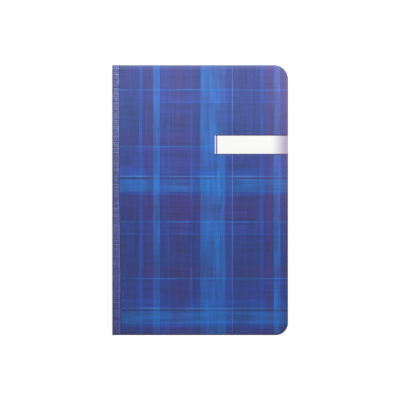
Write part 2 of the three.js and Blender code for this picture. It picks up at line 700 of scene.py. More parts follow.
@dataclass(frozen=True)
class HeadGlow:
    """Painted light: print and cloth are painted paler along the head edge.

    Attributes:
        reach: How far down it goes.
        strength: Its share at the edge.
        tint: What it is mixed with.
    """

    reach: float = 3.5
    strength: float = 0.24
    tint: Colour = srgb(152, 172, 230)

    def over(self, canvas: NodeCanvas, colour: Socket, head: float) -> Socket:
        """Lays the painted light over a colour, below the head edge.

        Args:
            canvas: The material.
            colour: The colour so far.
            head: The Y of the head edge.

        Returns:
            The new colour.
        """
        _, y = canvas.flat_place
        return canvas.mix(canvas.rescale(y, head - self.reach, head, 0.0, self.strength),
                          colour, self.tint)


@dataclass(frozen=True)
class TwoTone:
    """A finish that drifts between two shades.

    Attributes:
        dark: The dark shade.
        pale: The pale shade.
        limits: The values of its noise at which it is dark and pale.
    """

    dark: Colour
    pale: Colour
    limits: tuple[float, float] = NOISE_RANGE

    def drift(self, canvas: NodeCanvas, noise: Socket) -> Socket:
        """Mixes the two shades by a noise."""
        return canvas.mix(canvas.rescale(noise, *self.limits), self.dark, self.pale)


class Ink(Enum):
    """The inks of the printed check, as linear colours."""

    NAVY = srgb(38, 58, 130)
    INDIGO = srgb(48, 66, 152)
    PLUM = srgb(58, 54, 128)
    ROYAL = srgb(40, 82, 176)
    AZURE = srgb(34, 114, 198)
    SKY = srgb(70, 134, 212)


@dataclass(frozen=True)
class Sett:
    """One repeat of the check's stripes in one direction.

    Attributes:
        stripes: Widths and inks, in order.
        shift: Where the repeat starts.
        streak: The fine grain along its threads.
        drift: The coarse grain along them.
    """

    stripes: tuple[tuple[float, Ink], ...]
    shift: float
    streak: Grain
    drift: Grain

    @property
    def repeat(self) -> float:
        """The width of one repeat."""
        return sum(width for width, _ in self.stripes)

    def stops(self) -> list[tuple[float, Colour]]:
        """Gives the ramp's stops, each at its stripe's start as a share of the repeat."""
        starts = np.cumsum([0.0] + [width for width, _ in self.stripes[:-1]]) / self.repeat
        return [(float(start), ink.value) for start, (_, ink) in zip(starts, self.stripes)]


class CoverSide(Enum):
    """Which cover a piece is."""

    FRONT = "front"
    BACK = "back"


@dataclass(frozen=True)
class TitlePanel:
    """The plain white panel for a title, open to the fore-edge, with a bar beside it."""

    left: float = 10.8
    low: float = 29.2
    high: float = 40.55
    bar_left: float = 9.2
    bar_right: float = 10.15
    line_above: float = 0.75
    line_below: float = 0.6
    fade_from: float = 44.2
    overrun: float = 1.0
    white: Colour = srgb(254, 254, 253)
    bar_white: Colour = srgb(222, 222, 246)
    dark: Colour = srgb(60, 62, 108)
    lilac: Colour = srgb(184, 170, 196)


@dataclass(frozen=True)
class LaminatedPrint:
    """A printed blue check under a gloss film.

    The stripes across and the stripes along are mixed like threads in a weave: a share of
    each, shifted a little from cell to cell and streaked along their own direction.
    """

    side: CoverSide
    book: Book
    flap: ClothFlap
    outline: TrimOutline
    across: Sett = Sett(
        (
            (4.5, Ink.INDIGO), (1.2, Ink.ROYAL), (13.0, Ink.PLUM), (1.0, Ink.ROYAL),
            (5.0, Ink.NAVY), (15.5, Ink.AZURE), (1.4, Ink.ROYAL), (3.0, Ink.INDIGO),
            (0.7, Ink.SKY), (17.0, Ink.NAVY), (2.4, Ink.ROYAL), (6.5, Ink.PLUM),
            (4.0, Ink.AZURE), (0.8, Ink.NAVY),
        ),
        shift=100.8,
        streak=Grain((1.5, 0.028, 0.0), 3.0, 0.7),
        drift=Grain((0.33, 0.028, 0.0), shift=(9.0, 3.0, 2.0)),
    )
    along: Sett = Sett(
        (
            (19.0, Ink.NAVY), (0.9, Ink.ROYAL), (7.0, Ink.INDIGO), (1.0, Ink.AZURE),
            (16.0, Ink.PLUM), (2.2, Ink.ROYAL), (8.0, Ink.AZURE), (1.2, Ink.NAVY),
            (1.0, Ink.SKY), (5.0, Ink.ROYAL), (13.0, Ink.INDIGO), (0.8, Ink.AZURE),
            (8.0, Ink.PLUM),
        ),
        shift=124.2,
        streak=Grain((0.028, 1.5, 0.0), 3.0, 0.7, shift=(40.0, 0.0, 5.0)),
        drift=Grain((0.028, 0.33, 0.0), shift=(2.0, 7.0, 8.0)),
    )
    streak_swing: float = 0.28
    drift_swing: float = 0.22
    cell: Triple = (3.1, 4.3, 1000.0)
    cell_swing: float = 0.1
    patch: Grain = Grain((0.045, 0.035, 0.0), shift=(4.0, 1.0, 0.0))
    patch_limits: tuple[float, float] = (0.35, 0.65)
    patch_shares: tuple[float, float] = (0.2, 0.62)
    panel: TitlePanel = TitlePanel()
    glow: HeadGlow = HeadGlow()
    # Painted light: the print is painted darker towards the tail and paler towards the head, as
    # light falling from the head.
    tail_fade: Colour = (0.56, 0.82, 0.9)
    fade_top: float = 0.3
    head_lift: Colour = srgb(86, 100, 136)
    lift_low: float = -0.1
    lift_strength: float = 0.35
    # Painted sheen: a lilac reflection along the fore-edge, strongest towards the head.
    veil: Colour = srgb(143, 104, 150)
    veil_reach: float = 20.0
    veil_overrun: float = 4.0
    veil_strength: float = 0.42
    # Painted shade along the fore-edge, strongest towards the tail.
    dusk: Colour = srgb(40, 32, 50)
    dusk_reach: float = 5.0
    dusk_overrun: float = 1.0
    dusk_strength: float = 0.42
    # Painted shade on the rolled rim at the head and tail, greyer and paler at the head.
    rim_tail: Colour = srgb(30, 35, 66)
    rim_head: Colour = srgb(100, 106, 140)
    rim_width_tail: float = 1.9
    rim_width_head: float = 1.0
    rim_strength: float = 0.85
    rim_full: float = 6.0
    rim_start: float = 12.0
    rim_least: float = 0.12
    # Painted shadow in the groove beside the cloth flap, broken into dots and paler at the head.
    line_tail: Colour = srgb(20, 34, 84)
    line_head: Colour = srgb(54, 78, 142)
    line_reach: float = 0.65
    line_under: float = 1.0
    dots: Grain = Grain((0.0, 0.75, 0.0), 1.0)
    dot_limits: tuple[float, float] = (0.35, 0.6)
    dot_shares: tuple[float, float] = (0.45, 0.95)
    peel: Grain = Grain((0.9, 0.9, 0.9))

    def _stripes(self, canvas: NodeCanvas, value: Socket, sett: Sett) -> Socket:
        """Looks up the stripe under a coordinate, wrapped to one repeat, and streaks it.

        Args:
            canvas: The material.
            value: The coordinate.
            sett: The stripes.

        Returns:
            Their colour.
        """
        shifted = canvas.math("ADD", value, sett.shift)
        share = canvas.math("FRACT", canvas.math("DIVIDE", shifted, sett.repeat))
        brightness = canvas.math("MULTIPLY", *(
            canvas.spread(canvas.noise(grain), 1 - swing, 1 + swing)
            for grain, swing in ((sett.streak, self.streak_swing), (sett.drift, self.drift_swing))
        ))
        return canvas.gain(canvas.ramp(share, sett.stops(), stepped=True), brightness)

    def _check(self, canvas: NodeCanvas) -> Socket:
        """Mixes both stripe sets.

        Args:
            canvas: The material.

        Returns:
            The check's colour.
        """
        x, y = canvas.flat_place
        cell = canvas.math("MULTIPLY", canvas.cells(self.cell), self.cell_swing)
        slow = canvas.rescale(canvas.noise(self.patch), *self.patch_limits, *self.patch_shares)
        across = self._stripes(canvas, x, self.across)
        along = self._stripes(canvas, y, self.along)
        return canvas.mix(canvas.math("ADD", slow, cell), across, along)

    def _with_panel(self, canvas: NodeCanvas, ground: Socket) -> Socket:
        """Lays the title panel, its bar and its dark lines over the check.

        Args:
            canvas: The material.
            ground: The check's colour.

        Returns:
            The new colour.
        """
        x, y = canvas.flat_place
        panel = self.panel
        right = self.outline.fore_x + panel.overrun
        faded = canvas.rescale(x, panel.fade_from, self.outline.fore_x)
        paper = canvas.mix(faded, panel.white, panel.lilac)
        below, above = panel.low - panel.line_below, panel.high + panel.line_above
        colour = ground
        for start, end, low, high, fill in (
            (panel.bar_right, right, below, above, panel.dark),
            (panel.left, right, panel.low, panel.high, paper),
            (panel.bar_left, panel.bar_right, panel.low, panel.high, panel.bar_white),
        ):
            columns, rows = canvas.between(x, start, end), canvas.between(y, low, high)
            colour = canvas.mix(canvas.math("MULTIPLY", columns, rows), colour, fill)
        return colour

    def _from_edge(self, canvas: NodeCanvas) -> Socket:
        """Gives the distance in from the trimmed outline.

        On a rounded corner it is the radius less the distance from the corner's centre,
        and elsewhere the distance to the nearer straight edge.

        Args:
            canvas: The material.

        Returns:
            The distance.
        """
        x, y = canvas.flat_place
        outline = self.outline
        growth = outline.head_radius - outline.tail_radius
        in_head = canvas.math("GREATER_THAN", y, 0.0)
        radius = canvas.math("ADD", canvas.math("MULTIPLY", in_head, growth), outline.tail_radius)
        past = [
            canvas.math("ADD", canvas.math("SUBTRACT", value, edge), radius)
            for value, edge in (
                (x, outline.fore_x), (canvas.math("ABSOLUTE", y), outline.head_y),
            )
        ]
        squares = canvas.math("ADD", *(
            canvas.math("POWER", canvas.math("MAXIMUM", value, 0.0), 2.0) for value in past
        ))
        beyond = canvas.math("SQRT", squares)
        short = canvas.math("MINIMUM", canvas.math("MAXIMUM", *past), 0.0)
        return canvas.math("SUBTRACT", radius, canvas.math("ADD", beyond, short))

    def _from_flap(self, canvas: NodeCanvas) -> Socket:
        """Gives the distance out from the cloth flap's edge, which ClothFlap.width gives.

        Args:
            canvas: The material.

        Returns:
            The distance.
        """
        x, y = canvas.flat_place
        flap = self.flap
        turn_from = self.book.head_y - flap.straight_share * self.book.length
        per_mm = math.pi / 2 / ((1 - flap.straight_share) * self.book.length)
        below = canvas.math("MAXIMUM", canvas.math("SUBTRACT", turn_from, y), 0.0)
        sine = canvas.math("SINE", canvas.math("MULTIPLY", below, per_mm))
        growth = canvas.math("MULTIPLY", sine, flap.width_tail - flap.width_head)
        from_head_width = canvas.math("SUBTRACT", x, self.book.spine_x + flap.width_head)
        return canvas.math("SUBTRACT", from_head_width, growth)

    def _shaded(self, canvas: NodeCanvas, colour: Socket, up: Socket, down: Socket) -> Socket:
        """Paints the tail darker and the head paler, and a sheen and a shade along the fore-edge,
        each smoothly.

        Args:
            canvas: The material.
            colour: The colour so far.
            up: A share that rises from the tail to the head.
            down: One that falls.

        Returns:
            The new colour.
        """
        x, y = canvas.flat_place
        tail, head, fore = self.book.tail_y, self.book.head_y, self.outline.fore_x
        # Painted shade towards the tail and painted light towards the head.
        near_tail = canvas.rescale(y, tail, self.fade_top * head, 1.0, 0.0)
        colour = canvas.mix(near_tail, colour, self.tail_fade, "MULTIPLY")
        near_head = canvas.rescale(y, self.lift_low * head, head, 0.0, self.lift_strength)
        colour = canvas.mix(near_head, colour, self.head_lift, "ADD")
        high_up = canvas.math("POWER", up, 2.0)
        # Painted sheen along the fore-edge towards the head, and painted shade along it towards
        # the tail.
        for reach, overrun, strength, share, tint in (
            (self.veil_reach, self.veil_overrun, self.veil_strength, high_up, self.veil),
            (self.dusk_reach, self.dusk_overrun, self.dusk_strength, down, self.dusk),
        ):
            near_fore = canvas.rescale(x, fore - reach, fore + overrun, 0.0, strength)
            colour = canvas.mix(canvas.math("MULTIPLY", near_fore, share), colour, tint)
        return self.glow.over(canvas, colour, head)

    def _edged(self, canvas: NodeCanvas, colour: Socket, up: Socket, down: Socket) -> Socket:
        """Paints shade on the rolled rim, and a broken shadow in the groove beside the flap.

        Args:
            canvas: The material.
            colour: The colour so far.
            up: A share that rises from the tail to the head.
            down: One that falls.

        Returns:
            The new colour.
        """
        _, y = canvas.flat_place
        head = self.book.head_y
        # Painted shade on the rolled rim, wider towards the tail.
        widened = canvas.math("MULTIPLY", down, self.rim_width_tail - self.rim_width_head)
        width = canvas.math("ADD", widened, self.rim_width_head)
        rim = canvas.rescale(self._from_edge(canvas), 0.0, width, self.rim_strength, 0.0)
        at_end = canvas.rescale(
            canvas.math("ABSOLUTE", y), head - self.rim_start, head - self.rim_full,
            self.rim_least, 1.0,
        )
        rim_shade_colour = canvas.mix(up, self.rim_tail, self.rim_head)
        colour = canvas.mix(canvas.math("MULTIPLY", rim, at_end), colour, rim_shade_colour)
        # Painted shadow in the groove beside the flap.
        beside = canvas.between(self._from_flap(canvas), -self.line_under, self.line_reach)
        broken = canvas.rescale(canvas.noise(self.dots), *self.dot_limits, *self.dot_shares)
        groove_shadow_colour = canvas.mix(up, self.line_tail, self.line_head)
        return canvas.mix(canvas.math("MULTIPLY", beside, broken), colour, groove_shadow_colour)

    def material(self) -> bpy.types.Material:
        """Builds the material.

        Returns:
            The finish, ready for a piece.
        """
        canvas = NodeCanvas(f"laminated_print_{self.side.value}")
        _, y = canvas.flat_place
        tail, head = self.book.tail_y, self.book.head_y
        up, down = canvas.rescale(y, tail, head), canvas.rescale(y, tail, head, 1.0, 0.0)
        colour = self._shaded(canvas, self._check(canvas), up, down)
        colour = self._edged(canvas, colour, up, down)
        if self.side is CoverSide.FRONT:
            colour = self._with_panel(canvas, colour)
        peel = canvas.noise(self.peel)
        canvas.set(
            base_color=colour,
            roughness=canvas.spread(peel, 0.26, 0.34),
            specular_ior_level=0.3,
            coat_weight=0.25,
            coat_roughness=0.12,
        )
        canvas.relief(peel, depth=0.02, strength=0.5)
        return canvas.material


@dataclass(frozen=True)
class CoverCore(TwoTone):
    """The cut edge of the cover card: pale pulp in thin plies."""

    dark: Colour = srgb(196, 192, 188)
    pale: Colour = srgb(236, 233, 228)
    limits: tuple[float, float] = (0.12, 0.4)
    plies: Grain = Grain((0.4, 0.4, 14.0), 3.0, 0.6)
    fibres: Grain = Grain((9.0, 9.0, 9.0), 4.0, 0.6)

    def material(self) -> bpy.types.Material:
        """Builds the material.

        Returns:
            The finish, ready for a piece.
        """
        canvas = NodeCanvas("cover_core")
        both = canvas.math("MULTIPLY", canvas.noise(self.plies), canvas.noise(self.fibres))
        canvas.set(base_color=self.drift(canvas, both), roughness=0.9, specular_ior_level=0.2)
        canvas.relief(both, depth=0.03)
        return canvas.material


@dataclass(frozen=True)
class CoverLining(TwoTone):
    """The plain inside of a cover: smooth white card with a faint fibre cloud."""

    dark: Colour = srgb(239, 238, 235)
    pale: Colour = srgb(247, 247, 244)
    limits: tuple[float, float] = (0.12, 0.38)
    cloud: Grain = Grain((0.25, 0.25, 0.25), 5.0, 0.62)
    fibres: Grain = Grain((5.0, 2.5, 5.0), 4.0, 0.65)

    def material(self) -> bpy.types.Material:
        """Builds the material.

        Returns:
            The finish, ready for a piece.
        """
        canvas = NodeCanvas("cover_lining")
        fibres = canvas.noise(self.fibres)
        both = canvas.math("MULTIPLY", canvas.noise(self.cloud), fibres)
        canvas.set(
            base_color=self.drift(canvas, both),
            roughness=canvas.spread(fibres, 0.62, 0.78),
            specular_ior_level=0.3,
        )
        canvas.relief(fibres, depth=0.012, strength=0.6)
        return canvas.material


@dataclass(frozen=True)
class WovenCloth:
    """Book cloth of pale violet and navy threads, coloured by the stored tone and painted darker
    to the tail.
    """

    book: Book
    # The darkest stop is for painted shade at the rolled corners and cut ends.
    worn: Colour = srgb(22, 24, 46)
    dark: Colour = srgb(49, 52, 105)
    middle: Colour = srgb(96, 104, 169)
    pale: Colour = srgb(160, 171, 229)
    tones: tuple[float, ...] = (0.0, 0.1, 0.5, 0.95)
    # Painted light: near the cloth's own colour at the head, painted darker towards the tail.
    faded: Colour = (0.97, 1.0, 0.95)
    deep: Colour = (0.3, 0.325, 0.55)
    fuzz: Grain = Grain((7.0, 7.0, 7.0), 4.0, 0.7)
    fuzz_limits: tuple[float, float] = (0.25, 0.75)
    fuzz_swing: float = 0.16
    stain: Grain = Grain((0.12, 0.09, 0.12), 3.0, 0.6)
    stain_swing: float = 0.04
    glow: HeadGlow = HeadGlow()

    def material(self) -> bpy.types.Material:
        """Builds the material.

        Returns:
            The finish, ready for a piece.
        """
        canvas = NodeCanvas("woven_cloth")
        _, y = canvas.flat_place
        fuzz, stain = canvas.noise(self.fuzz), canvas.noise(self.stain)
        swing = canvas.rescale(fuzz, *self.fuzz_limits, -self.fuzz_swing, self.fuzz_swing)
        tone = canvas.math("ADD", canvas.tone(), swing)
        tone = canvas.math("ADD", tone, canvas.spread(stain, -self.stain_swing, self.stain_swing))
        shades = canvas.ramp(
            tone, list(zip(self.tones, (self.worn, self.dark, self.middle, self.pale)))
        )
        # Painted light falling off from the head towards the tail.
        from_tail = canvas.math("SUBTRACT", y, self.book.tail_y)
        toward_head = canvas.math("DIVIDE", from_tail, self.book.length)
        light_falloff = canvas.mix(toward_head, self.deep, self.faded)
        colour = canvas.mix(1.0, shades, light_falloff, "MULTIPLY")
        canvas.set(
            base_color=self.glow.over(canvas, colour, self.book.head_y),
            roughness=0.62,
            specular_ior_level=0.45,
            sheen_weight=0.35,
            sheen_roughness=0.45,
            sheen_tint=srgb(214, 214, 245),
        )
        canvas.relief(fuzz, depth=0.05, strength=0.7)
        return canvas.material


@dataclass(frozen=True)
class ClothBacking(TwoTone):
    """The glued inner side of the cloth, with thin pale size over the threads."""

    dark: Colour = srgb(178, 178, 204)
    pale: Colour = srgb(230, 228, 234)
    smear: Grain = Grain((1.2, 0.5, 1.2), 4.0, 0.6)

    def material(self) -> bpy.types.Material:
        """Builds the material.

        Returns:
            The finish, ready for a piece.
        """
        canvas = NodeCanvas("cloth_backing")
        smear = canvas.noise(self.smear)
        canvas.set(
            base_color=self.drift(canvas, smear), roughness=canvas.spread(smear, 0.45, 0.7)
        )
        canvas.relief(smear, depth=0.03)
        return canvas.material


@dataclass(frozen=True)
class RuledPaper(TwoTone):
    """Smooth writing paper, ruled in pale squares on both sides.

    Attributes:
        square: The ruling's pitch.
        line: The ruled line's width.
        wear_limits: The values of the fibres' grain where a line is faintest and strongest.
        wear_shares: Its share there.
    """

    dark: Colour = srgb(247, 245, 240)
    pale: Colour = srgb(253, 252, 248)
    ruling: Colour = srgb(158, 166, 208)
    square: float = 5.0
    line: float = 0.18
    wear_limits: tuple[float, float] = (0.25, 0.6)
    wear_shares: tuple[float, float] = (0.7, 0.9)
    cloud: Grain = Grain((0.6, 0.6, 0.6), 5.0, 0.65)
    fibres: Grain = Grain((6.0, 3.0, 6.0), 4.0, 0.65)

    def material(self) -> bpy.types.Material:
        """Builds the material.

        Returns:
            The finish, ready for a piece.
        """
        canvas = NodeCanvas("ruled_paper")
        fibres = canvas.noise(self.fibres)
        near = (canvas.math("PINGPONG", value, self.square / 2) for value in canvas.flat_place)
        ruled = canvas.math("LESS_THAN", canvas.math("MINIMUM", *near), self.line / 2)
        worn = canvas.rescale(fibres, *self.wear_limits, *self.wear_shares)
        paper = self.drift(canvas, canvas.noise(self.cloud))
        canvas.set(
            base_color=canvas.mix(canvas.math("MULTIPLY", ruled, worn), paper, self.ruling),
            roughness=0.72,
            specular_ior_level=0.25,
        )
        canvas.relief(fibres, depth=0.008, strength=0.6)
        return canvas.material


@dataclass(frozen=True)
class TrimmedPaper(TwoTone):
    """The cut edges of the leaves, streaked by the guillotine.

    Attributes:
        leaves: The grain from leaf to leaf.
        dust: The finer grain on each.
        dust_share: How much the finer one counts.
    """

    dark: Colour = srgb(224, 219, 206)
    pale: Colour = srgb(252, 249, 240)
    limits: tuple[float, float] = (0.32, 0.6)
    leaves: Grain = Grain((0.05, 0.05, 9.0), 3.0, 0.7)
    dust: Grain = Grain((1.5, 1.5, 20.0), 3.0, 0.7)
    dust_share: float = 0.35

    def material(self) -> bpy.types.Material:
        """Builds the material.

        Returns:
            The finish, ready for a piece.
        """
        canvas = NodeCanvas("trimmed_paper")
        leaves, dust = canvas.noise(self.leaves), canvas.noise(self.dust)
        shade = canvas.math(
            "ADD",
            canvas.math("MULTIPLY", leaves, 1 - self.dust_share),
            canvas.math("MULTIPLY", dust, self.dust_share),
        )
        canvas.set(base_color=self.drift(canvas, shade), roughness=0.88, specular_ior_level=0.2)
        canvas.relief(dust, depth=0.02)
        return canvas.material


@dataclass(frozen=True)
class WaxedThread(TwoTone):
    """White linen thread, in two plies that wind round each other.

    Attributes:
        groove_light: How bright the groove between the plies is painted, as shade.
        crown_tone: The stored tone above which a ply has its full brightness.
    """

    dark: Colour = srgb(190, 184, 168)
    pale: Colour = srgb(240, 237, 226)
    groove_light: float = 0.6
    crown_tone: float = 0.7
    fibres: Grain = Grain((10.0, 10.0, 10.0), 4.0, 0.7)

    def material(self) -> bpy.types.Material:
        """Builds the material.

        Returns:
            The finish, ready for a piece.
        """
        canvas = NodeCanvas("waxed_thread")
        fibres = canvas.noise(self.fibres)
        # Painted shade darkens the groove between the plies.
        light = canvas.rescale(canvas.tone(), 0.0, self.crown_tone, self.groove_light, 1.0)
        linen = canvas.gain(self.drift(canvas, fibres), light)
        canvas.set(base_color=linen, roughness=0.6, sheen_weight=0.2)
        canvas.relief(fibres, depth=0.03)
        return canvas.material


@dataclass(frozen=True)
class DriedGlue(TwoTone):
    """The thin coat of spine glue that has soaked between the folds."""

    dark: Colour = srgb(202, 194, 170)
    pale: Colour = srgb(232, 228, 212)
    runs: Grain = Grain((1.5, 0.35, 1.5), 4.0, 0.6)

    def material(self) -> bpy.types.Material:
        """Builds the material.

        Returns:
            The finish, ready for a piece.
        """
        canvas = NodeCanvas("dried_glue")
        runs = canvas.noise(self.runs)
        canvas.set(
            base_color=self.drift(canvas, runs),
            roughness=canvas.spread(runs, 0.3, 0.5),
            specular_ior_level=0.5,
        )
        canvas.relief(runs, depth=0.04)
        return canvas.material


@dataclass(frozen=True)
class WhiteFloor(TwoTone):
    """A floor that looks white to the eye and keeps a faint shadow.

    Attributes:
        unseen: Its colour for the rays by which it only lights the notebook.
        light: How strongly it shines for the eye.
    """

    dark: Colour = srgb(132, 132, 133)
    pale: Colour = srgb(135, 135, 135)
    unseen: Colour = srgb(235, 235, 235)
    light: float = 0.875
    cloud: Grain = Grain((0.05, 0.05, 0.05))

    def material(self) -> bpy.types.Material:
        """Builds the material.

        Returns:
            The finish, ready for a piece.
        """
        canvas = NodeCanvas("white_floor")
        seen = canvas.seen()
        canvas.set(
            base_color=canvas.mix(
                seen, self.unseen, self.drift(canvas, canvas.noise(self.cloud))
            ),
            roughness=1.0,
            specular_ior_level=0.0,
            emission_color=(1.0, 1.0, 1.0),
            emission_strength=canvas.math("MULTIPLY", seen, self.light),
        )
        return canvas.material


# The covers


@dataclass
class Covers:
    """The two laminated card covers, each with a shallow step pressed for the cloth."""

    book: Book
    flap: ClothFlap
    outline: TrimOutline
    rolled_edge: float = 0.08
    step_clearance: float = 0.02
    step_wall: float = 0.05
    wall_columns: tuple[float, float] = (-0.4, 0.4)
    corner_lift: float = 0.22
    lift_from: float = 0.25
    lift_least: float = 0.3
    crease_deg: float = 30.0
    corner_steps: int = 18
    straight_steps: int = 34
    step_columns: int = 5
    face_columns: int = 30
    roll_steps: int = 3

    def _drop(self, x: Array, step_x: Array) -> Array:
        """Gives how far the printed face lies below the cover's outer height.

        It drops by the step's depth short of the flap's edge, down a steep wall.

        Args:
            x: Places from spine to fore-edge, rows by columns.
            step_x: Where the wall stands on each row.

        Returns:
            The drop at each place.
        """
        depth = self.book.cloth_thickness + self.step_clearance
        rise = smoothstep((x - step_x + self.step_wall) / (2 * self.step_wall))
        return depth * (1 - rise)

    def _lift(self, x: Array, y: Array) -> Array:
        """Gives how far the front cover's free corners stand off the leaves.

        The lift grows smoothly towards the fore-edge, and with the square of the distance
        from its middle.

        Args:
            x: Places from spine to fore-edge, rows by columns.
            y: Places from tail to head, likewise.

        Returns:
            The lift at each place.
        """
        fore_x = self.book.fore_x
        outward = smoothstep((x - self.lift_from * fore_x) / ((1 - self.lift_from) * fore_x))
        to_end = (y / self.book.head_y) ** 2
        return self.corner_lift * outward * (self.lift_least + (1 - self.lift_least) * to_end)

    def _grid(self, inner: TrimOutline) -> tuple[Array, Array, Array]:
        """Gives the grid's X and Y, and where the step's wall stands on each row.

        A row runs from the spine through the step's wall to the trimmed outline.

        Args:
            inner: The outline within the rolled edges.

        Returns:
            X and Y, rows by columns, and the wall's X, one to a row.
        """
        y, reach = inner.rows(self.corner_steps, self.straight_steps)
        edge = self.book.spine_x + self.flap.width(self.book, y) + self.flap.groove
        wall = self.step_wall
        near = np.linspace(0.0, 1.0, self.step_columns + 1)
        far = np.linspace(0.0, 1.0, self.face_columns + 1)
        before = inner.spine_x + (edge - wall - inner.spine_x)[:, None] * near
        across = edge[:, None] + wall * np.array([self.wall_columns])
        after = (edge + wall)[:, None] + (reach - edge - wall)[:, None] * far
        x = np.concatenate([before, across, after], axis=1)
        return x, np.repeat(y[:, None], x.shape[1], axis=1), edge[:, None]

    def _rolled_rings(self, flat: Array, top: Array, bottom: Array) -> Array:
        """Gives the rings of points down the edge, from the upper face to the lower.

        Both edges are rolled by a quarter circle, out from the given outline.

        Args:
            flat: The outline's X and Y.
            top: The upper face's height at each of its points.
            bottom: The lower face's height there.

        Returns:
            Rings by points by coordinates.
        """
        roll = np.linspace(0.0, math.pi / 2, self.roll_steps + 1)[1:]
        outs = np.concatenate([np.sin(roll), np.sin(roll[::-1])]) * self.rolled_edge
        downs = np.concatenate([1 - np.cos(roll), 1 - np.cos(roll[::-1])]) * self.rolled_edge
        is_upper = np.arange(len(outs)) < self.roll_steps
        ring_xy = flat[None] + outs[:, None, None] * mitred_normals(flat)[None]
        ring_z = np.where(is_upper[:, None], top - downs[:, None], bottom + downs[:, None])
        return np.concatenate([ring_xy, ring_z[..., None]], axis=2)

    def _surface(self, side: CoverSide) -> Surface:
        """Makes the closed slab: two faces over one grid, joined by rolled edges.

        Args:
            side: Which cover it is.

        Returns:
            The closed surface.
        """
        x, y, step_x = self._grid(self.outline.inset(self.rolled_edge))
        drop = self._drop(x, step_x)
        thickness = self.book.cover_thickness
        if side is CoverSide.FRONT:
            lift = self._lift(x, y)
            top = self.book.height - drop + lift
            bottom = np.full_like(x, self.book.height - thickness) + lift
        else:
            top = np.full_like(x, thickness)
            bottom = drop
        count = x.size
        index = np.arange(count).reshape(x.shape)
        rim = np.concatenate([
            index[0, :-1], index[:-1, -1], index[-1, :0:-1], index[:0:-1, 0],
        ])
        flat = np.stack([x.ravel()[rim], y.ravel()[rim]], axis=1)
        rings = self._rolled_rings(flat, top.ravel()[rim], bottom.ravel()[rim])
        ring_index = 2 * count + np.arange(rings.shape[0] * len(rim)).reshape(-1, len(rim))
        strip = np.concatenate([rim[None], ring_index, rim[None] + count])
        strip = np.concatenate([strip, strip[:, :1]], axis=1)
        top_faces = grid_quads(index)
        bottom_faces = grid_quads(index + count)[:, ::-1]
        edge_faces = grid_quads(strip.T)
        printed, core, lining = 0, 1, 2
        upper, lower = (printed, lining) if side is CoverSide.FRONT else (lining, printed)
        row_finish = np.full(len(strip) - 1, core)
        row_finish[[0, -1]] = upper, lower
        return Surface(
            points=np.concatenate([
                np.stack([x, y, top], axis=2).reshape(-1, 3),
                np.stack([x, y, bottom], axis=2).reshape(-1, 3),
                rings.reshape(-1, 3),
            ]),
            faces=[top_faces, bottom_faces, edge_faces],
            finishes=[
                np.full(len(top_faces), upper),
                np.full(len(bottom_faces), lower),
                np.tile(row_finish, strip.shape[1] - 1),
            ],
        )

    def build(self) -> list[bpy.types.Object]:
        """Makes both covers, dresses them and lets them ride.

        Returns:
            The two pieces.
        """
        core = CoverCore().material()
        lining = CoverLining().material()
        pieces = []
        for side in CoverSide:
            printed = LaminatedPrint(side, self.book, self.flap, self.outline).material()
            node = f"{side.value}_cover"
            materials = [printed, core, lining]
            piece = make_piece(f"{node}_card", self._surface(side), materials, self.crease_deg)
            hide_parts(node)
            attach(piece, node)
            pieces.append(piece)
        return pieces


# The spine cloth


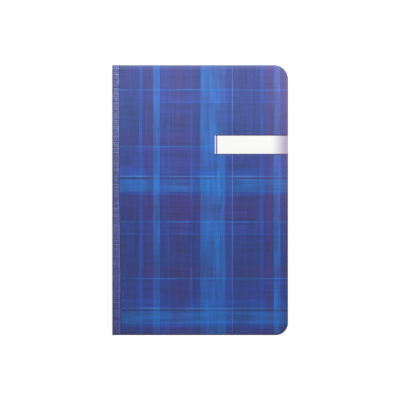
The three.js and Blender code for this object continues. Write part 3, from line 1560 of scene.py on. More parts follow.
@dataclass
class Weave:
    """A plain weave, as a relief and a shade over the cloth's two directions.

    Attributes:
        across: The pitch of the threads that run along the spine.
        along: The pitch of the threads that run round it.
        swing: How far a thread rises and dips as it passes over and under.
        crown: How much higher a thread's middle is than its sides.
        contrast: How much paler every other round thread is than the next.
        seed: The start of the random draws.
        middle_tone: The threads' mean shade.
        own_spread: How far one thread's shade lies from another's.
        drift_spread: How far a thread's shade drifts along it.
        round_light: How much paler the round threads are than the long ones.
        shadow_depth: How much darker the lowest place is painted than the highest, as shade.
        light: What is added to every shade.
    """

    across: float = 0.6
    along: float = 0.63
    swing: float = 0.03
    crown: float = 0.05
    contrast: float = 0.2
    seed: int = 11
    middle_tone: float = 0.5
    own_spread: float = 0.12
    drift_spread: float = 0.08
    round_light: float = 0.05
    shadow_depth: float = 0.35
    light: float = 0.1
    threads_along: int = 80
    threads_round: int = 280
    knots: int = 64
    tones: dict[str, Array] = field(default_factory=dict)
    ragged: Array = field(init=False)

    def __post_init__(self) -> None:
        """Draws each thread's shade, and how it drifts from end to end."""
        draws = np.random.default_rng(self.seed)
        for name, count in (("long", self.threads_along), ("round", self.threads_round)):
            own = draws.normal(self.middle_tone, self.own_spread, (count, 1))
            drift = draws.normal(0.0, self.drift_spread, (count, self.knots))
            self.tones[name] = own + drift
        self.tones["round"][::2] += self.contrast / 2
        self.tones["round"][1::2] -= self.contrast / 2
        self.ragged = draws.uniform(-1.0, 1.0, self.threads_round)

    def _shade(self, name: str, thread: IntArray, share: Array) -> Array:
        """Reads a thread's shade at a share of its length, smoothly between its knots.

        Args:
            name: Which way it runs.
            thread: The thread's number at each place.
            share: The share of its length there.

        Returns:
            The shades.
        """
        table = self.tones[name]
        place = np.clip(share, 0.0, 1.0) * (self.knots - 1)
        low = np.minimum(place.astype(int), self.knots - 2)
        eased = smoothstep(place - low)
        row = np.clip(thread, 0, len(table) - 1)
        return table[row, low] * (1 - eased) + table[row, low + 1] * eased

    def relief(self, round_way: Array, long_way: Array, length: float) -> tuple[Array, Array]:
        """Gives the cloth's height below its highest point, and its shade.

        A long thread's middle follows a sine that rises over every other round thread, and
        a round thread follows the opposite one. Each thread's section is a cosine hump. The
        higher of the two is the surface.

        Args:
            round_way: Distance round the spine, from the first flap's edge.
            long_way: Distance along the spine, from the tail.
            length: The cloth's whole length.

        Returns:
            Heights, zero or less, and shades from 0 to 1.
        """
        u = round_way / self.across
        v = long_way / self.along
        i = np.floor(u).astype(int)
        j = np.floor(v).astype(int)
        hump_long = np.cos(math.pi * (u - i - 0.5)) - 1
        hump_round = np.cos(math.pi * (v - j - 0.5)) - 1
        long_height = self.swing * np.sin(math.pi * (v + i)) + self.crown * hump_long
        round_height = -self.swing * np.sin(math.pi * (u + j)) + self.crown * hump_round
        long_on_top = long_height > round_height
        height = np.maximum(long_height, round_height) - self.swing
        shade = np.where(
            long_on_top,
            self._shade("long", i, v * self.along / length),
            self._shade("round", j, u / self.threads_along) + self.round_light,
        )
        # Painted shade darkens the weave's dips.
        shadow = np.clip(-height / (self.swing + self.crown), 0.0, 1.0)
        return height, np.clip(shade - self.shadow_depth * shadow + self.light, 0.0, 1.0)

    def fray(self, long_way: Array) -> Array:
        """Gives how far each thread's cut end stands out, from -1 to 1, along the spine."""
        j = np.clip(np.floor(long_way / self.along).astype(int), 0, self.threads_round - 1)
        return self.ragged[j]


@dataclass(frozen=True)
class ClothStretch:
    """One stretch of the spine cloth, from the middle of one block to that of the next.

    Attributes:
        name: The piece's name.
        upper_body: The body at its front end; not used.
        lower_body: The body at its back end; not used.
        top: Its upper end, or None where it ends in the front flap.
        bottom: Its lower end, or None where it ends in the back flap.
        crease: The height at which it bends.
        replaced: The CAD nodes that it stands for.
    """

    name: str
    upper_body: str
    lower_body: str
    top: float | None
    bottom: float | None
    crease: float
    replaced: tuple[str, ...]


@dataclass
class SpineCloth:
    """The woven cloth that runs from one cover's face round the spine to the other's.

    The real cloth is one strip. It is divided at the middle of each stiff block, where it
    never bends, and each stretch spans one joint.
    """

    book: Book
    flap: ClothFlap
    weave: Weave = field(default_factory=Weave)
    corner_radius: float = 0.4
    columns_per_thread: int = 5
    rows_per_thread: int = 4
    bend_half: float = 0.42
    crease_depth: float = 0.11
    crease_width: float = 0.3
    backing_step: float = 0.9
    least_gap: float = 0.04
    crease_offsets: tuple[float, ...] = (
        -0.6, -0.42, -0.3, -0.2, -0.1, 0.0, 0.1, 0.2, 0.3, 0.42, 0.6,
    )
    corner_offsets: tuple[float, ...] = (0.0, 0.15, 0.3, 0.48, 0.63)
    fray_reach: float = 0.05
    # Painted shade at the rolled corners and cut ends, and a painted highlight at the flaps' cut
    # edges.
    corner_place: float = 0.2
    corner_shade: float = 0.4
    corner_shade_growth: float = 0.25
    corner_spread: float = 0.55
    cut_edge_light: float = 0.1
    cut_edge_spread: float = 0.5
    end_shade: float = 0.3
    end_spread: float = 0.45
    backing_tone: float = 0.5
    crease_deg: float = 60.0

    @property
    def _quarter(self) -> float:
        """The length of one rounded corner."""
        return self.corner_radius * math.pi / 2

    @property
    def _wall_end(self) -> float:
        """The distance round at which the flat of the spine ends at the back."""
        return self._quarter + self.book.height - 2 * self.corner_radius

    def _way_at(self, z: float) -> float:
        """Gives the distance round the spine at a height on its flat."""
        return self._quarter + self.book.height - self.corner_radius - z

    def _round(self, way: Array) -> tuple[Array, Array, Array, Array]:
        """Gives the place and outward direction at distances round the spine.

        Distance 0 is where the front flap meets its corner, and falls along the flap. The
        way goes round a quarter circle, down the flat, round a second quarter circle and
        out along the back flap.

        Args:
            way: Distances round.

        Returns:
            X, Z and the X and Z of the outward direction.
        """
        radius = self.corner_radius
        centre_x = self.book.spine_x + radius
        first = np.clip(way / radius, 0.0, math.pi / 2)
        second = np.clip((way - self._wall_end) / radius, 0.0, math.pi / 2)
        angle = first + second
        out_x = -np.sin(angle)
        out_z = np.cos(angle)
        down = np.clip(way - self._quarter, 0.0, self._wall_end - self._quarter)
        front_flap = np.clip(-way, 0.0, None)
        back_flap = np.clip(way - self._wall_end - self._quarter, 0.0, None)
        x = centre_x + radius * out_x + front_flap + back_flap
        z = self.book.height - radius + radius * out_z - down
        return x, z, out_x, out_z

    def _thinning(self, z: Array, crease: float) -> Array:
        """Gives how much the cloth is pressed thinner near its crease: a bell curve."""
        return self.crease_depth * bell(z - crease, self.crease_width)

    def _flap_run(self, y: Array) -> Array:
        """Gives the flap's length on each row, from its corner to its slightly ragged edge."""
        run = self.flap.width(self.book, y) - self.corner_radius
        return run + self.fray_reach * self.weave.fray(y - self.book.tail_y)

    def _inner_ways(self, stretch: ClothStretch, low: float, high: float) -> Array:
        """Gives the backing's distances: close at the crease and the corners, wide elsewhere.

        Args:
            stretch: The stretch.
            low: Its first distance round the spine.
            high: Its last one.

        Returns:
            The distances, in rising order.
        """
        count = max(2, round((high - low) / self.backing_step)) + 1
        crease = self._way_at(stretch.crease)
        ways = [np.linspace(low, high, count), crease + np.array(self.crease_offsets)]
        offsets = np.array(self.corner_offsets)
        if stretch.top is None:
            ways.append(offsets * self._quarter / offsets[-1])
        if stretch.bottom is None:
            ways.append(self._wall_end + offsets * self._quarter / offsets[-1])
        joined = np.unique(np.concatenate(ways).round(4))
        joined = joined[(joined >= low) & (joined <= high)]
        apart = np.concatenate([[True], np.diff(joined) > self.least_gap])
        apart[-1] = True
        return joined[apart]

    def _ways(self, stretch: ClothStretch, y: Array, step: float, backing: bool) -> Array:
        """Gives the columns' distances round the spine, row by row, for one stretch.

        On a flap the columns share its width out evenly, so that they follow its slanting
        edge. Elsewhere every row has the same distances.

        Args:
            stretch: The stretch.
            y: Its rows.
            step: The distance between columns.
            backing: Whether they are for the backing.

        Returns:
            Distances, rows by columns.
        """
        width = self._flap_run(y)
        end = self._wall_end + self._quarter
        low = 0.0 if stretch.top is None else self._way_at(stretch.top)
        high = end if stretch.bottom is None else self._way_at(stretch.bottom)
        if backing:
            middle = self._inner_ways(stretch, low, high)
        else:
            middle = np.linspace(low, high, round((high - low) / step) + 1)
        columns = np.repeat(middle[None], len(y), axis=0)
        shares = np.linspace(0.0, 1.0, round(self.flap.width_tail / step) + 1)
        if stretch.top is None:
            front = -width[:, None] * shares[::-1][None]
            columns = np.concatenate([front[:, :-1], columns], axis=1)
        if stretch.bottom is None:
            back = end + width[:, None] * shares[None]
            columns = np.concatenate([columns, back[:, 1:]], axis=1)
        return columns

    def _wear(self, way: Array, y: Array) -> Array:
        """Gives the painted shade at the rolled corners and cut ends, and the painted highlight at
        cut edges.

        Each is a bell curve of the distance: darker round a corner, more so towards the
        tail, darker at the head and the tail, and paler at a flap's edge.

        Args:
            way: Distances round the spine, rows by columns.
            y: The rows.

        Returns:
            What is added to the shade at each place.
        """
        down = ((self.book.head_y - y) / self.book.length)[:, None]
        from_end = (self.book.head_y - np.abs(y))[:, None]
        at_end = self.end_shade * bell(from_end, self.end_spread * (1 + down))
        shade = np.zeros_like(way) - at_end
        end = self._wall_end + self._quarter
        depth = self.corner_shade + self.corner_shade_growth * down
        darkest = self.corner_place * self._quarter
        for corner in (darkest, end - darkest):
            shade -= depth * bell(way - corner, self.corner_spread)
        run = self._flap_run(y)[:, None]
        for edge in (-run, end + run):
            shade += self.cut_edge_light * bell(way - edge, self.cut_edge_spread)
        return shade

    def _surface(self, stretch: ClothStretch) -> Surface:
        """Makes one closed stretch: woven outside, smooth and creased inside.

        Args:
            stretch: The stretch.

        Returns:
            The closed surface.
        """
        length = self.book.length
        row_step = self.weave.along / self.rows_per_thread
        y = np.linspace(self.book.tail_y, self.book.head_y, round(length / row_step) + 1)
        outer_step = self.weave.across / self.columns_per_thread
        outer_way = self._ways(stretch, y, outer_step, backing=False)
        height, tone = self.weave.relief(
            outer_way + self.flap.width_tail, y[:, None] - self.book.tail_y, length
        )
        tone = np.clip(tone + self._wear(outer_way, y), 0.0, 1.0)
        x, z, out_x, out_z = self._round(outer_way)
        outer = in_rows(x + out_x * height, y, z + out_z * height)
        inner_way = self._ways(stretch, y, self.backing_step, backing=True)[:, ::-1]
        x, z, out_x, out_z = self._round(inner_way)
        depth = self.book.cloth_thickness - self._thinning(z, stretch.crease)
        inner = in_rows(x - out_x * depth, y, z - out_z * depth)
        loops = np.concatenate([outer, inner], axis=1)[:, ::-1]
        woven, backing = 0, 1
        finish = np.full(loops.shape[1], woven)
        finish[:inner.shape[1] - 1] = backing
        surface = carried_loop(loops, finish, woven)
        inner_tone = np.full(inner.shape[:2], self.backing_tone)
        surface.tones = np.concatenate([tone, inner_tone], axis=1)[:, ::-1].reshape(-1)
        return surface

    @staticmethod
    def _between(upper: Section, lower: Section) -> float:
        """Gives the height midway between two neighbouring sections."""
        return (upper.low + lower.high) / 2

    def stretches(self) -> list[ClothStretch]:
        """Lists the five stretches.

        Returns:
            The stretches, front to back.
        """
        first, second, third, fourth, fifth, last = self.book.sections
        upper_middle = self._between(second, third)
        middle_middle = self._between(fourth, fifth)
        cover = self.book.cover_thickness
        return [
            ClothStretch(
                "spine_cloth_front_hinge", "front_cover", first.body, None, first.middle,
                self.book.height - cover - self.crease_depth,
                ("cloth_front_flap", "cloth_spine_section_1"),
            ),
            ClothStretch(
                "spine_cloth_early_opening", first.body, second.body, first.middle,
                upper_middle, self._between(first, second),
                ("cloth_spine_section_1", "cloth_spine_sections_2_3"),
            ),
            ClothStretch(
                "spine_cloth_middle_opening", third.body, fourth.body, upper_middle,
                middle_middle, self._between(third, fourth),
                ("cloth_spine_sections_2_3", "cloth_spine_sections_4_5"),
            ),
            ClothStretch(
                "spine_cloth_late_opening", fifth.body, last.body, middle_middle,
                last.middle, self._between(fifth, last),
                ("cloth_spine_sections_4_5", "cloth_spine_section_6"),
            ),
            ClothStretch(
                "spine_cloth_back_hinge", last.body, "back_cover", last.middle, None,
                cover + self.crease_depth,
                ("cloth_spine_section_6", "cloth_back_flap"),
            ),
        ]

    def build(self) -> list[bpy.types.Object]:
        """Makes the five stretches and dresses them.

        Returns:
            The pieces, front to back.
        """
        materials = [WovenCloth(self.book).material(), ClothBacking().material()]
        pieces = []
        for stretch in self.stretches():
            surface = self._surface(stretch)
            piece = make_piece(stretch.name, surface, materials, self.crease_deg)
            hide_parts(*stretch.replaced)
            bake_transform(piece)
            pieces.append(piece)
        return pieces


# The sewing


@dataclass
class Sewing:
    """The linen thread, one stretch to each block.

    In a section it lies in the heart from the outer holes to the inner ones, and along the
    spine between the inner ones. In a block of two sections it crosses at the tail.
    """

    book: Book
    plan: SewingPlan
    bend_radius: float = 0.2
    slimness: float = 0.005
    lay: float = 1.2
    ply_groove: float = 0.34
    step: float = 0.12
    least_steps: int = 14
    bend_steps: int = 5
    ring_points: int = 12
    crease_deg: float = 70.0

    def _route(self, sections: Sequence[Section]) -> Array:
        """Lists the corners of a block's thread, down its first section and up its second.

        Args:
            sections: The block's sections.

        Returns:
            The corners, one row each.
        """
        outer, inner = self.plan.outer_x, self.plan.inner_x
        sides = (outer, inner, inner, outer, outer, inner, inner, outer)
        corners_passed = []
        for number, section in enumerate(sections):
            ordered = self.plan.stations if number % 2 == 0 else self.plan.stations[::-1]
            places = np.repeat(ordered, 2)
            corners_passed += [(x, y, section.middle) for x, y in zip(sides, places)]
        return np.array(corners_passed)

    def _carried(self, route: Array) -> tuple[Array, Array]:
        """Rounds the route's corners and carries two axes, square to it, along it.

        On a corner, the point at the angle a lies the radius times its sine ahead, and the
        radius less the radius times its cosine aside. The axes turn with it: an axis's
        share along the new direction swings back by the same angle.

        Args:
            route: The corners.

        Returns:
            The places, and both axes at each of them.
        """
        lengths = np.linalg.norm(np.diff(route, axis=0), axis=1)
        ways = np.diff(route, axis=0) / lengths[:, None]
        angle = np.linspace(0.0, math.pi / 2, self.bend_steps, endpoint=False)[:, None]
        pair = np.array([[0.0, 1.0, 0.0], [0.0, 0.0, 1.0]])
        places, axes = [], []
        last = len(ways) - 1
        for number, (corner, way, length) in enumerate(zip(route, ways, lengths)):
            bends = int(number > 0) + int(number < last)
            begin = corner + (self.bend_radius * way if number > 0 else 0.0)
            run = length - bends * self.bend_radius
            count = max(self.least_steps, round(run / self.step))
            shares = np.linspace(0.0, run, count, endpoint=number == last)[:, None]
            places.append(begin + shares * way)
            axes.append(np.repeat(pair[None], count, axis=0))
            if number < last:
                after = ways[number + 1]
                aside = (1 - np.cos(angle)) * after + np.sin(angle) * way
                places.append(begin + run * way + self.bend_radius * aside)
                share_after = (pair @ after)[None, :, None]
                swing = (np.cos(angle) - 1) * after - np.sin(angle) * way
                axes.append(pair[None] + share_after * swing[:, None])
                pair = pair - (pair @ after)[:, None] * (after + way)
        return np.concatenate(places), np.concatenate(axes)

    def _surface(self, sections: Sequence[Section]) -> Surface:
        """Makes one closed stretch of two plies that wind round each other.

        Round the route, the radius falls short by the groove's depth times one less the
        absolute cosine of the angle from the plies' line, which turns once in each lay. The
        ring is then stretched along X, Y and Z to the thread's flat section, which lies
        level in the hearts and the holes and upright along the spine.

        Args:
            sections: The block's sections.

        Returns:
            The closed surface.
        """
        places, axes = self._carried(self._route(sections))
        steps = np.linalg.norm(np.diff(places, axis=0), axis=1)
        way = np.concatenate([[0.0], np.cumsum(steps)])[:, None]
        fold_x = sections[0].fold_x
        outward = smoothstep((fold_x - places[:, 0]) / (fold_x - self.plan.outer_x))
        flat = self.plan.width / 2 - self.slimness
        thin = self.plan.thickness / 2 - self.slimness
        across = flat + (thin - flat) * outward
        up = thin + (flat - thin) * outward**2
        stretch = np.stack([across, np.full_like(outward, flat), up], axis=1)
        angle = np.linspace(0.0, 2 * math.pi, self.ring_points, endpoint=False)[None]
        ply = np.abs(np.cos(angle - 2 * math.pi * way / self.lay))
        radius = 1 - self.ply_groove * (1 - ply)
        spokes = np.stack([np.cos(angle) * radius, np.sin(angle) * radius], axis=2)
        offsets = (spokes @ axes) * stretch[:, None]
        surface = carried_loop(
            places[:, None] + offsets, np.zeros(self.ring_points, dtype=int), 0
        )
        surface.tones = ply.reshape(-1)
        return surface

    def build(self) -> list[bpy.types.Object]:
        """Makes each block's stretch, dresses it and lets it ride.

        Returns:
            The pieces, front to back.
        """
        linen = WaxedThread().material()
        pieces = []
        for sections in self.book.blocks:
            numbers = "_".join(str(section.number) for section in sections)
            node = f"thread_section{'s' if len(sections) > 1 else ''}_{numbers}"
            surface = self._surface(sections)
            piece = make_piece(f"sewing_{node}", surface, [linen], self.crease_deg)
            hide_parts(node)
            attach(piece, sections[0].body)
            pieces.append(piece)
        return pieces


# The spine glue


def within(offset: Array, half: float, soft: float) -> Array:
    """Gives 1 within a half width of 0, and falls smoothly to 0 over a soft edge."""
    return 1 - smoothstep((np.abs(offset) - half) / soft)


@dataclass
class SpineGlue:
    """The thin coat of dried glue between the folds and the cloth, one film to each block.

    The thread's runs lie in channels in it.
    """

    book: Book
    plan: SewingPlan
    fold_radius: float = 0.55
    skin: float = 0.01
    valley_depth: float = 0.34
    end_gap: float = 0.12
    from_trim: float = 0.35
    height_step: float = 0.045
    row_step: float = 1.0
    wander: float = 0.02
    wander_waves: tuple[float, float] = (0.31, 0.083)
    wander_phase: float = 1.0
    thread_gap: float = 0.01
    channel_soft: float = 0.1
    channel_rows: tuple[float, ...] = (-0.36, -0.3, -0.22, 0.0, 0.22, 0.3, 0.36)

    def _rows(self) -> Array:
        """Lists the rows, close together where the thread passes.

        Returns:
            The rows' Y, from tail to head.
        """
        tail = self.book.tail_y + self.from_trim
        head = self.book.head_y - self.from_trim
        even = np.linspace(tail, head, round((head - tail) / self.row_step) + 1)
        stations = np.array(self.plan.stations)
        apart = np.min(np.abs(even[:, None] - stations[None]), axis=1)
        close = stations[:, None] + np.array(self.channel_rows)[None]
        return np.sort(np.concatenate([even[apart > self.row_step / 2], close.ravel()]))

    def _channels(self, sections: Sequence[Section], y: Array, z: Array) -> Array:
        """Gives 1 where the thread lies, and 0 elsewhere.

        A channel is the product of two soft steps, along the spine and up it, and where
        channels meet the greater counts.

        Args:
            sections: The block's sections.
            y: The rows.
            z: The heights.

        Returns:
            Shares, rows by heights.
        """
        half, soft = self.plan.width / 2, self.channel_soft
        head_station, inner_station, _, tail_station = self.plan.stations
        at_head = within(y - head_station, half, soft)
        at_tail = within(y - tail_station, half, soft)
        along_run = within(y, inner_station + half, soft)
        along = np.maximum(along_run, np.maximum(at_head, at_tail))[:, None]
        first, last = sections[0].middle, sections[-1].middle
        crossing = within(z - (first + last) / 2, (first - last) / 2 + half, soft)
        share = at_tail[:, None] * crossing[None]
        for section in sections:
            share = np.maximum(share, along * within(z - section.middle, half, soft)[None])
        return share

    def _fold_line(self, sections: Sequence[Section], z: Array) -> Array:
        """Gives how far the glue reaches in at each height.

        It follows each fold's quarter circles into the valley between two sections, down to
        the valley's greatest depth.

        Args:
            sections: The block's sections.
            z: The heights.

        Returns:
            Its X at each height.
        """
        reach = np.full_like(z, self.valley_depth)
        for section in sections:
            flat = (section.high - section.low) / 2 - self.fold_radius
            past = np.abs(z - section.middle) - flat
            bend = np.clip(past, 0.0, self.fold_radius)
            depth = self.fold_radius - np.sqrt(self.fold_radius**2 - bend**2)
            reach = np.minimum(reach, np.where(past > self.fold_radius, self.valley_depth, depth))
        return sections[0].fold_x - self.skin + reach

    def _surface(self, sections: Sequence[Section]) -> Surface:
        """Makes one closed film, flat against the cloth and moulded to the folds.

        Its face wanders by the product of a sine and a cosine along the spine.

        Args:
            sections: The block's sections.

        Returns:
            The closed surface.
        """
        low = sections[-1].low + self.end_gap
        high = sections[0].high - self.end_gap
        z = np.linspace(low, high, round((high - low) / self.height_step) + 1)
        y = self._rows()
        flat_x = np.full_like(z, self.book.cloth_inner_x + self.skin)
        moulded_x = self._fold_line(sections, z)
        quick, slow = self.wander_waves
        run = self.wander * np.sin(quick * y) * np.cos(slow * y + self.wander_phase)
        valley = np.clip((moulded_x - sections[0].fold_x) / self.valley_depth, 0.0, 1.0)
        inner_x = moulded_x[None] + run[:, None] * valley[None]
        channel_x = self.plan.outer_x - self.plan.thickness / 2 - self.thread_gap
        inner_x += self._channels(sections, y, z) * (channel_x - inner_x)
        x = np.concatenate([np.repeat(flat_x[None], len(y), axis=0), inner_x[:, ::-1]], axis=1)
        loops = in_rows(x, y, np.concatenate([z, z[::-1]]))
        return carried_loop(loops, np.zeros(x.shape[1], dtype=int), 0)

    def build(self) -> list[bpy.types.Object]:
        """Makes each block's film, dresses it and lets it ride.

        Returns:
            The pieces, front to back.
        """
        glue = DriedGlue().material()
        pieces = []
        for sections in self.book.blocks:
            body = sections[0].body
            piece = make_piece(f"spine_glue_{body}", self._surface(sections), [glue])
            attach(piece, body)
            pieces.append(piece)
        return pieces


# The leaves


@dataclass
class Leaves:
    """The folded sheets, eight in each section, trimmed to one outline and pierced."""

    book: Book
    outline: TrimOutline
    plan: SewingPlan
    sheets_per_section: int = 8
    paper_thickness: float = 0.095
    sheet_pitch: float = 0.1
    heart_gap: float = 0.15
    heart_gap_at_edge: float = 0.02
    fold_radius: float = 0.55
    least_radius: float = 0.02
    trim_wander: float = 0.03
    wave_range: tuple[float, float] = (0.02, 0.06)
    wave_share: float = 0.4
    offset_reach: float = 0.6
    corner_steps: int = 12
    straight_steps: int = 16
    fold_steps: int = 6
    stations: tuple[float, ...] = (0.0, 0.03, 0.12, 0.3, 0.55, 0.8, 1.0)
    closing: tuple[float, float] = (4.0, 60.0)
    hole_length: float = 0.6
    hole_height: float = 0.1
    seed: int = 5

    def _rows(self) -> tuple[Array, Array]:
        """Gives rows, with two at each hole's ends, and their reach.

        Returns:
            The rows' Y, from tail to head, and their greatest X.
        """
        y, reach = self.outline.rows(self.corner_steps, self.straight_steps)
        half = self.hole_length / 2
        ends = np.array([[station - half, station + half] for station in self.plan.stations])
        apart = np.min(np.abs(y[:, None] - ends.mean(axis=1)[None]), axis=1) > self.hole_length
        joined = np.concatenate([y[apart], ends.ravel()])
        reaches = np.concatenate([reach[apart], np.full(ends.size, self.outline.fore_x)])
        order = np.argsort(joined)
        return joined[order], reaches[order]

    def _pierced(self, surface: Surface, y: Array, columns: int) -> Surface:
        """Opens the four holes in a sheet's fold and walls them.

        The loop's last strip spans a hole on the fold's outside, and the strip between its
        middle points spans it on the inside. Both are taken out on a hole's row, and four
        walls join their edges.

        Args:
            surface: The unpierced sheet.
            y: Its rows.
            columns: How many points a loop has.

        Returns:
            The pierced sheet.
        """
        hair = 1e-6
        starts = np.searchsorted(y, np.array(self.plan.stations) - self.hole_length / 2 - hair)
        strip = np.array([columns // 2 - 1, columns - 1])
        taken = (starts[:, None] * columns + strip[None]).ravel()
        kept = np.setdiff1d(np.arange(len(surface.faces[0])), taken)
        near = starts[:, None] * columns
        far = near + columns
        ring = np.array([[0, columns // 2 - 1, columns // 2, columns - 1]])
        upper_out, upper_in, lower_in, lower_out = ring[0]
        walls = [near + ring, (far + ring)[:, ::-1]] + [
            np.concatenate([near + start, near + end, far + end, far + start], axis=1)
            for start, end in ((upper_in, upper_out), (lower_out, lower_in))
        ]
        quads = np.concatenate([surface.faces[0][kept], *walls])
        finish = np.concatenate([surface.finishes[0][kept], np.zeros(4 * len(starts), dtype=int)])
        return Surface(surface.points, [quads, surface.faces[1]], [finish, surface.finishes[1]])

    def _half_line(self, fold_x: float, half: float, radius: float, reach: Array,
                   sink: float) -> tuple[Array, Array]:
        """Gives the upper half of one side of a folded sheet, from its fold outwards.

        It rises round a quarter circle and runs straight to the trimmed edge, and sinks
        smoothly towards the heart on the way.

        Args:
            fold_x: Where the fold's surface lies.
            half: Its height above the heart, next to the fold.
            radius: The fold's radius.
            reach: Where each row ends.
            sink: How much lower the trimmed edge lies.

        Returns:
            X and the height above the heart, rows by points.
        """
        angle = np.linspace(0.0, math.pi / 2, self.fold_steps + 1)
        arc_x = fold_x + radius * (1 - np.cos(angle))
        arc_z = half - radius * (1 - np.sin(angle))
        run = np.array(self.stations[1:])
        run_x = arc_x[-1] + (reach - arc_x[-1])[:, None] * run[None]
        x = np.concatenate([np.repeat(arc_x[None], len(reach), axis=0), run_x], axis=1)
        z = np.concatenate([arc_z, np.full(len(run), half)])
        start, end = self.closing
        lowered = sink * smoothstep((x - fold_x - start) / (end - start))
        return x, z[None] - lowered

    def _surface(self, section: Section, sheet: int, draws: np.random.Generator) -> Surface:
        """Makes one closed folded sheet.

        The loop runs out along the upper leaf's top, back along its underside, round the
        heart, out along the lower leaf and back along its underside and round the fold. It
        has a point at the upper and lower side of the holes, outside and in.

        Args:
            section: Its section.
            sheet: Its number, 1 on the outside.
            draws: The random draws.

        Returns:
            The pierced sheet.
        """
        y, reach = self._rows()
        inset = (sheet - 1) * self.sheet_pitch
        half = (section.high - section.low) / 2 - inset
        deepest = (self.heart_gap - self.heart_gap_at_edge) / 2
        sink = deepest * (sheet - 1) / (self.sheets_per_section - 1)
        outer_radius = max(self.fold_radius - inset, self.least_radius)
        inner_radius = max(outer_radius - self.paper_thickness, self.least_radius)
        fold_x = section.fold_x + inset
        waves = draws.uniform(*self.wave_range, 2)
        phases = draws.uniform(0.0, 2 * math.pi, 2)
        offsets = draws.uniform(-self.offset_reach, self.offset_reach, 2)
        inner_fold = fold_x + self.paper_thickness
        inner_half = half - self.paper_thickness
        lines = []
        for wave, phase, offset in zip(waves, phases, offsets):
            edge = reach + self.trim_wander * (offset + self.wave_share * np.sin(wave * y + phase))
            lines.append(self._half_line(fold_x, half, outer_radius, edge, sink))
            lines.append(self._half_line(inner_fold, inner_half, inner_radius, edge, sink))
        (top_x, top_z), (under_x, under_z), (base_x, base_z), (over_x, over_z) = lines
        outside, inside = np.full((len(y), 1), fold_x), np.full((len(y), 1), inner_fold)
        brim = np.full((len(y), 1), self.hole_height / 2)
        x = np.concatenate(
            [outside, top_x, under_x[:, ::-1], inside, inside, over_x, base_x[:, ::-1], outside],
            axis=1,
        )
        z = np.concatenate(
            [brim, top_z, under_z[:, ::-1], brim, -brim, -over_z, -base_z[:, ::-1], -brim], axis=1
        )
        written, trimmed = 0, 1
        count = top_x.shape[1]
        finish = np.full(x.shape[1], written)
        finish[[count, 3 * count + 2]] = trimmed
        surface = carried_loop(in_rows(x, y, z + section.middle), finish, trimmed)
        return self._pierced(surface, y, x.shape[1])

    def build(self) -> list[bpy.types.Object]:
        """Makes every folded sheet, dresses it and lets it ride.

        Returns:
            The pieces, front to back.
        """
        materials = [RuledPaper().material(), TrimmedPaper().material()]
        draws = np.random.default_rng(self.seed)
        pieces = []
        for section in self.book.sections:
            for sheet in range(1, self.sheets_per_section + 1):
                node = f"section_{section.number}_sheet_{sheet}"
                surface = self._surface(section, sheet, draws)
                piece = make_piece(f"folded_{node}", surface, materials)
                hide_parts(node)
                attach(piece, section.body)
                pieces.append(piece)
        return pieces


# The studio


@dataclass(frozen=True)
class SoftLamp:
    """One square lamp that faces the notebook."""

    name: str
    place: Triple
    size: float
    watts: float

    def hang(self) -> None:
        """Adds the lamp, turned so that it looks at the origin."""
        data = bpy.data.lights.new(self.name, "AREA")
        data.shape = "SQUARE"
        data.size = self.size * METRES_PER_MM
        data.energy = self.watts
        lamp = bpy.data.objects.new(self.name, data)
        spot = np.array(self.place) * METRES_PER_MM
        lamp.location = spot
        toward = -spot / np.linalg.norm(spot)
        tilt = math.acos(-toward[2])
        turn = math.atan2(toward[0], -toward[1])
        lamp.rotation_euler = (tilt, 0.0, turn + math.pi)
        bpy.context.scene.collection.objects.link(lamp)


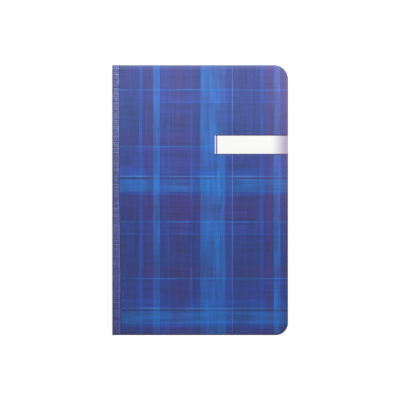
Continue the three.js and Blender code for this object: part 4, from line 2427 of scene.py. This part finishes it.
@dataclass
class Studio:
    """A white floor, a soft lamp at the head, low fill lamps and a camera overhead."""

    book: Book
    view_width: float = 251.85
    aim: tuple[float, float] = (-0.08, 0.08)
    lens: float = 200.0
    sensor: float = 36.0
    nearest: float = 10.0
    farthest: float = 20000.0
    floor_size: float = 4000.0
    floor_gap: float = 0.05
    lamps: tuple[SoftLamp, ...] = (
        SoftLamp("head_lamp", (60.0, 330.0, 320.0), 260.0, 1.35),
        SoftLamp("spine_fill_lamp", (-1000.0, -500.0, 320.0), 700.0, 4.5),
        SoftLamp("tail_fill_lamp", (900.0, -700.0, 320.0), 700.0, 5.0),
        SoftLamp("corner_fill_lamp", (700.0, 900.0, 320.0), 700.0, 0.8),
    )
    surround: float = 0.3

    def camera(self) -> None:
        """Puts the camera straight above the aim, with the head of the notebook up.

        Its distance is the view's half width over the tangent of half its angle.
        """
        data = bpy.data.cameras.new("overhead_camera")
        data.lens = self.lens
        data.sensor_width = self.sensor
        data.clip_start = self.nearest * METRES_PER_MM
        data.clip_end = self.farthest * METRES_PER_MM
        camera = bpy.data.objects.new("overhead_camera", data)
        distance = self.view_width / 2 / (self.sensor / 2 / self.lens)
        place = np.array([*self.aim, self.book.height + distance])
        camera.location = place * METRES_PER_MM
        bpy.context.scene.collection.objects.link(camera)
        bpy.context.scene.camera = camera

    def _world(self) -> None:
        """Sets pale surroundings that look white and light the notebook gently."""
        world = bpy.data.worlds.new("pale_surroundings")
        world.use_nodes = True
        nodes = Nodes(world.node_tree)
        ground = nodes.tree.nodes["Background"]
        ground.inputs["Color"].default_value = (1.0, 1.0, 1.0, 1.0)
        strength = nodes.rescale(nodes.seen(), 0.0, 1.0, self.surround, 1.0)
        nodes.feed(ground.inputs["Strength"], strength)
        bpy.context.scene.world = world

    def _floor(self) -> None:
        """Lays the white floor, just below the notebook."""
        half = self.floor_size / 2
        outline = np.array([[-half, -half], [half, -half], [half, half], [-half, half]])
        points = np.concatenate([outline, np.full((4, 1), -self.floor_gap)], axis=1)
        surface = Surface(points, [np.array([[0, 1, 2, 3]])], [np.array([0])])
        make_piece("floor", surface, [WhiteFloor().material()])

    def build(self) -> None:
        """Sets the camera, the lamps, the surroundings and the floor."""
        self.camera()
        for lamp in self.lamps:
            lamp.hang()
        self._world()
        self._floor()
        bpy.context.scene.view_settings.view_transform = "Standard"


def report(name: str, pieces: Sequence[bpy.types.Object]) -> None:
    """Logs the name of each piece of a sub-assembly, and how many faces it has."""
    for piece in pieces:
        LOG.info("%s: %s, %d faces", name, piece.name, len(piece.data.polygons))


def main() -> None:
    """Builds the notebook around its frame, and the studio round both."""
    logging.basicConfig(level=logging.INFO, format="%(name)s: %(message)s")
    for thing in list(bpy.data.objects):
        bpy.data.objects.remove(thing)
    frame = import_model()
    book = Book.from_frame(frame)
    Studio(book).build()
    flap = ClothFlap()
    cover_outline = TrimOutline(
        book.cover_spine_x, book.fore_x, book.tail_y, book.head_y, tail_radius=7.8, head_radius=8.8
    )
    trim_inset = 0.1
    plan = SewingPlan.from_frame()
    report("covers", Covers(book, flap, cover_outline).build())
    report("spine cloth", SpineCloth(book, flap).build())
    report("sewing", Sewing(book, plan).build())
    report("spine glue", SpineGlue(book, plan).build())
    report("leaves", Leaves(book, cover_outline.inset(trim_inset), plan).build())


if __name__ == "__main__":
    main()
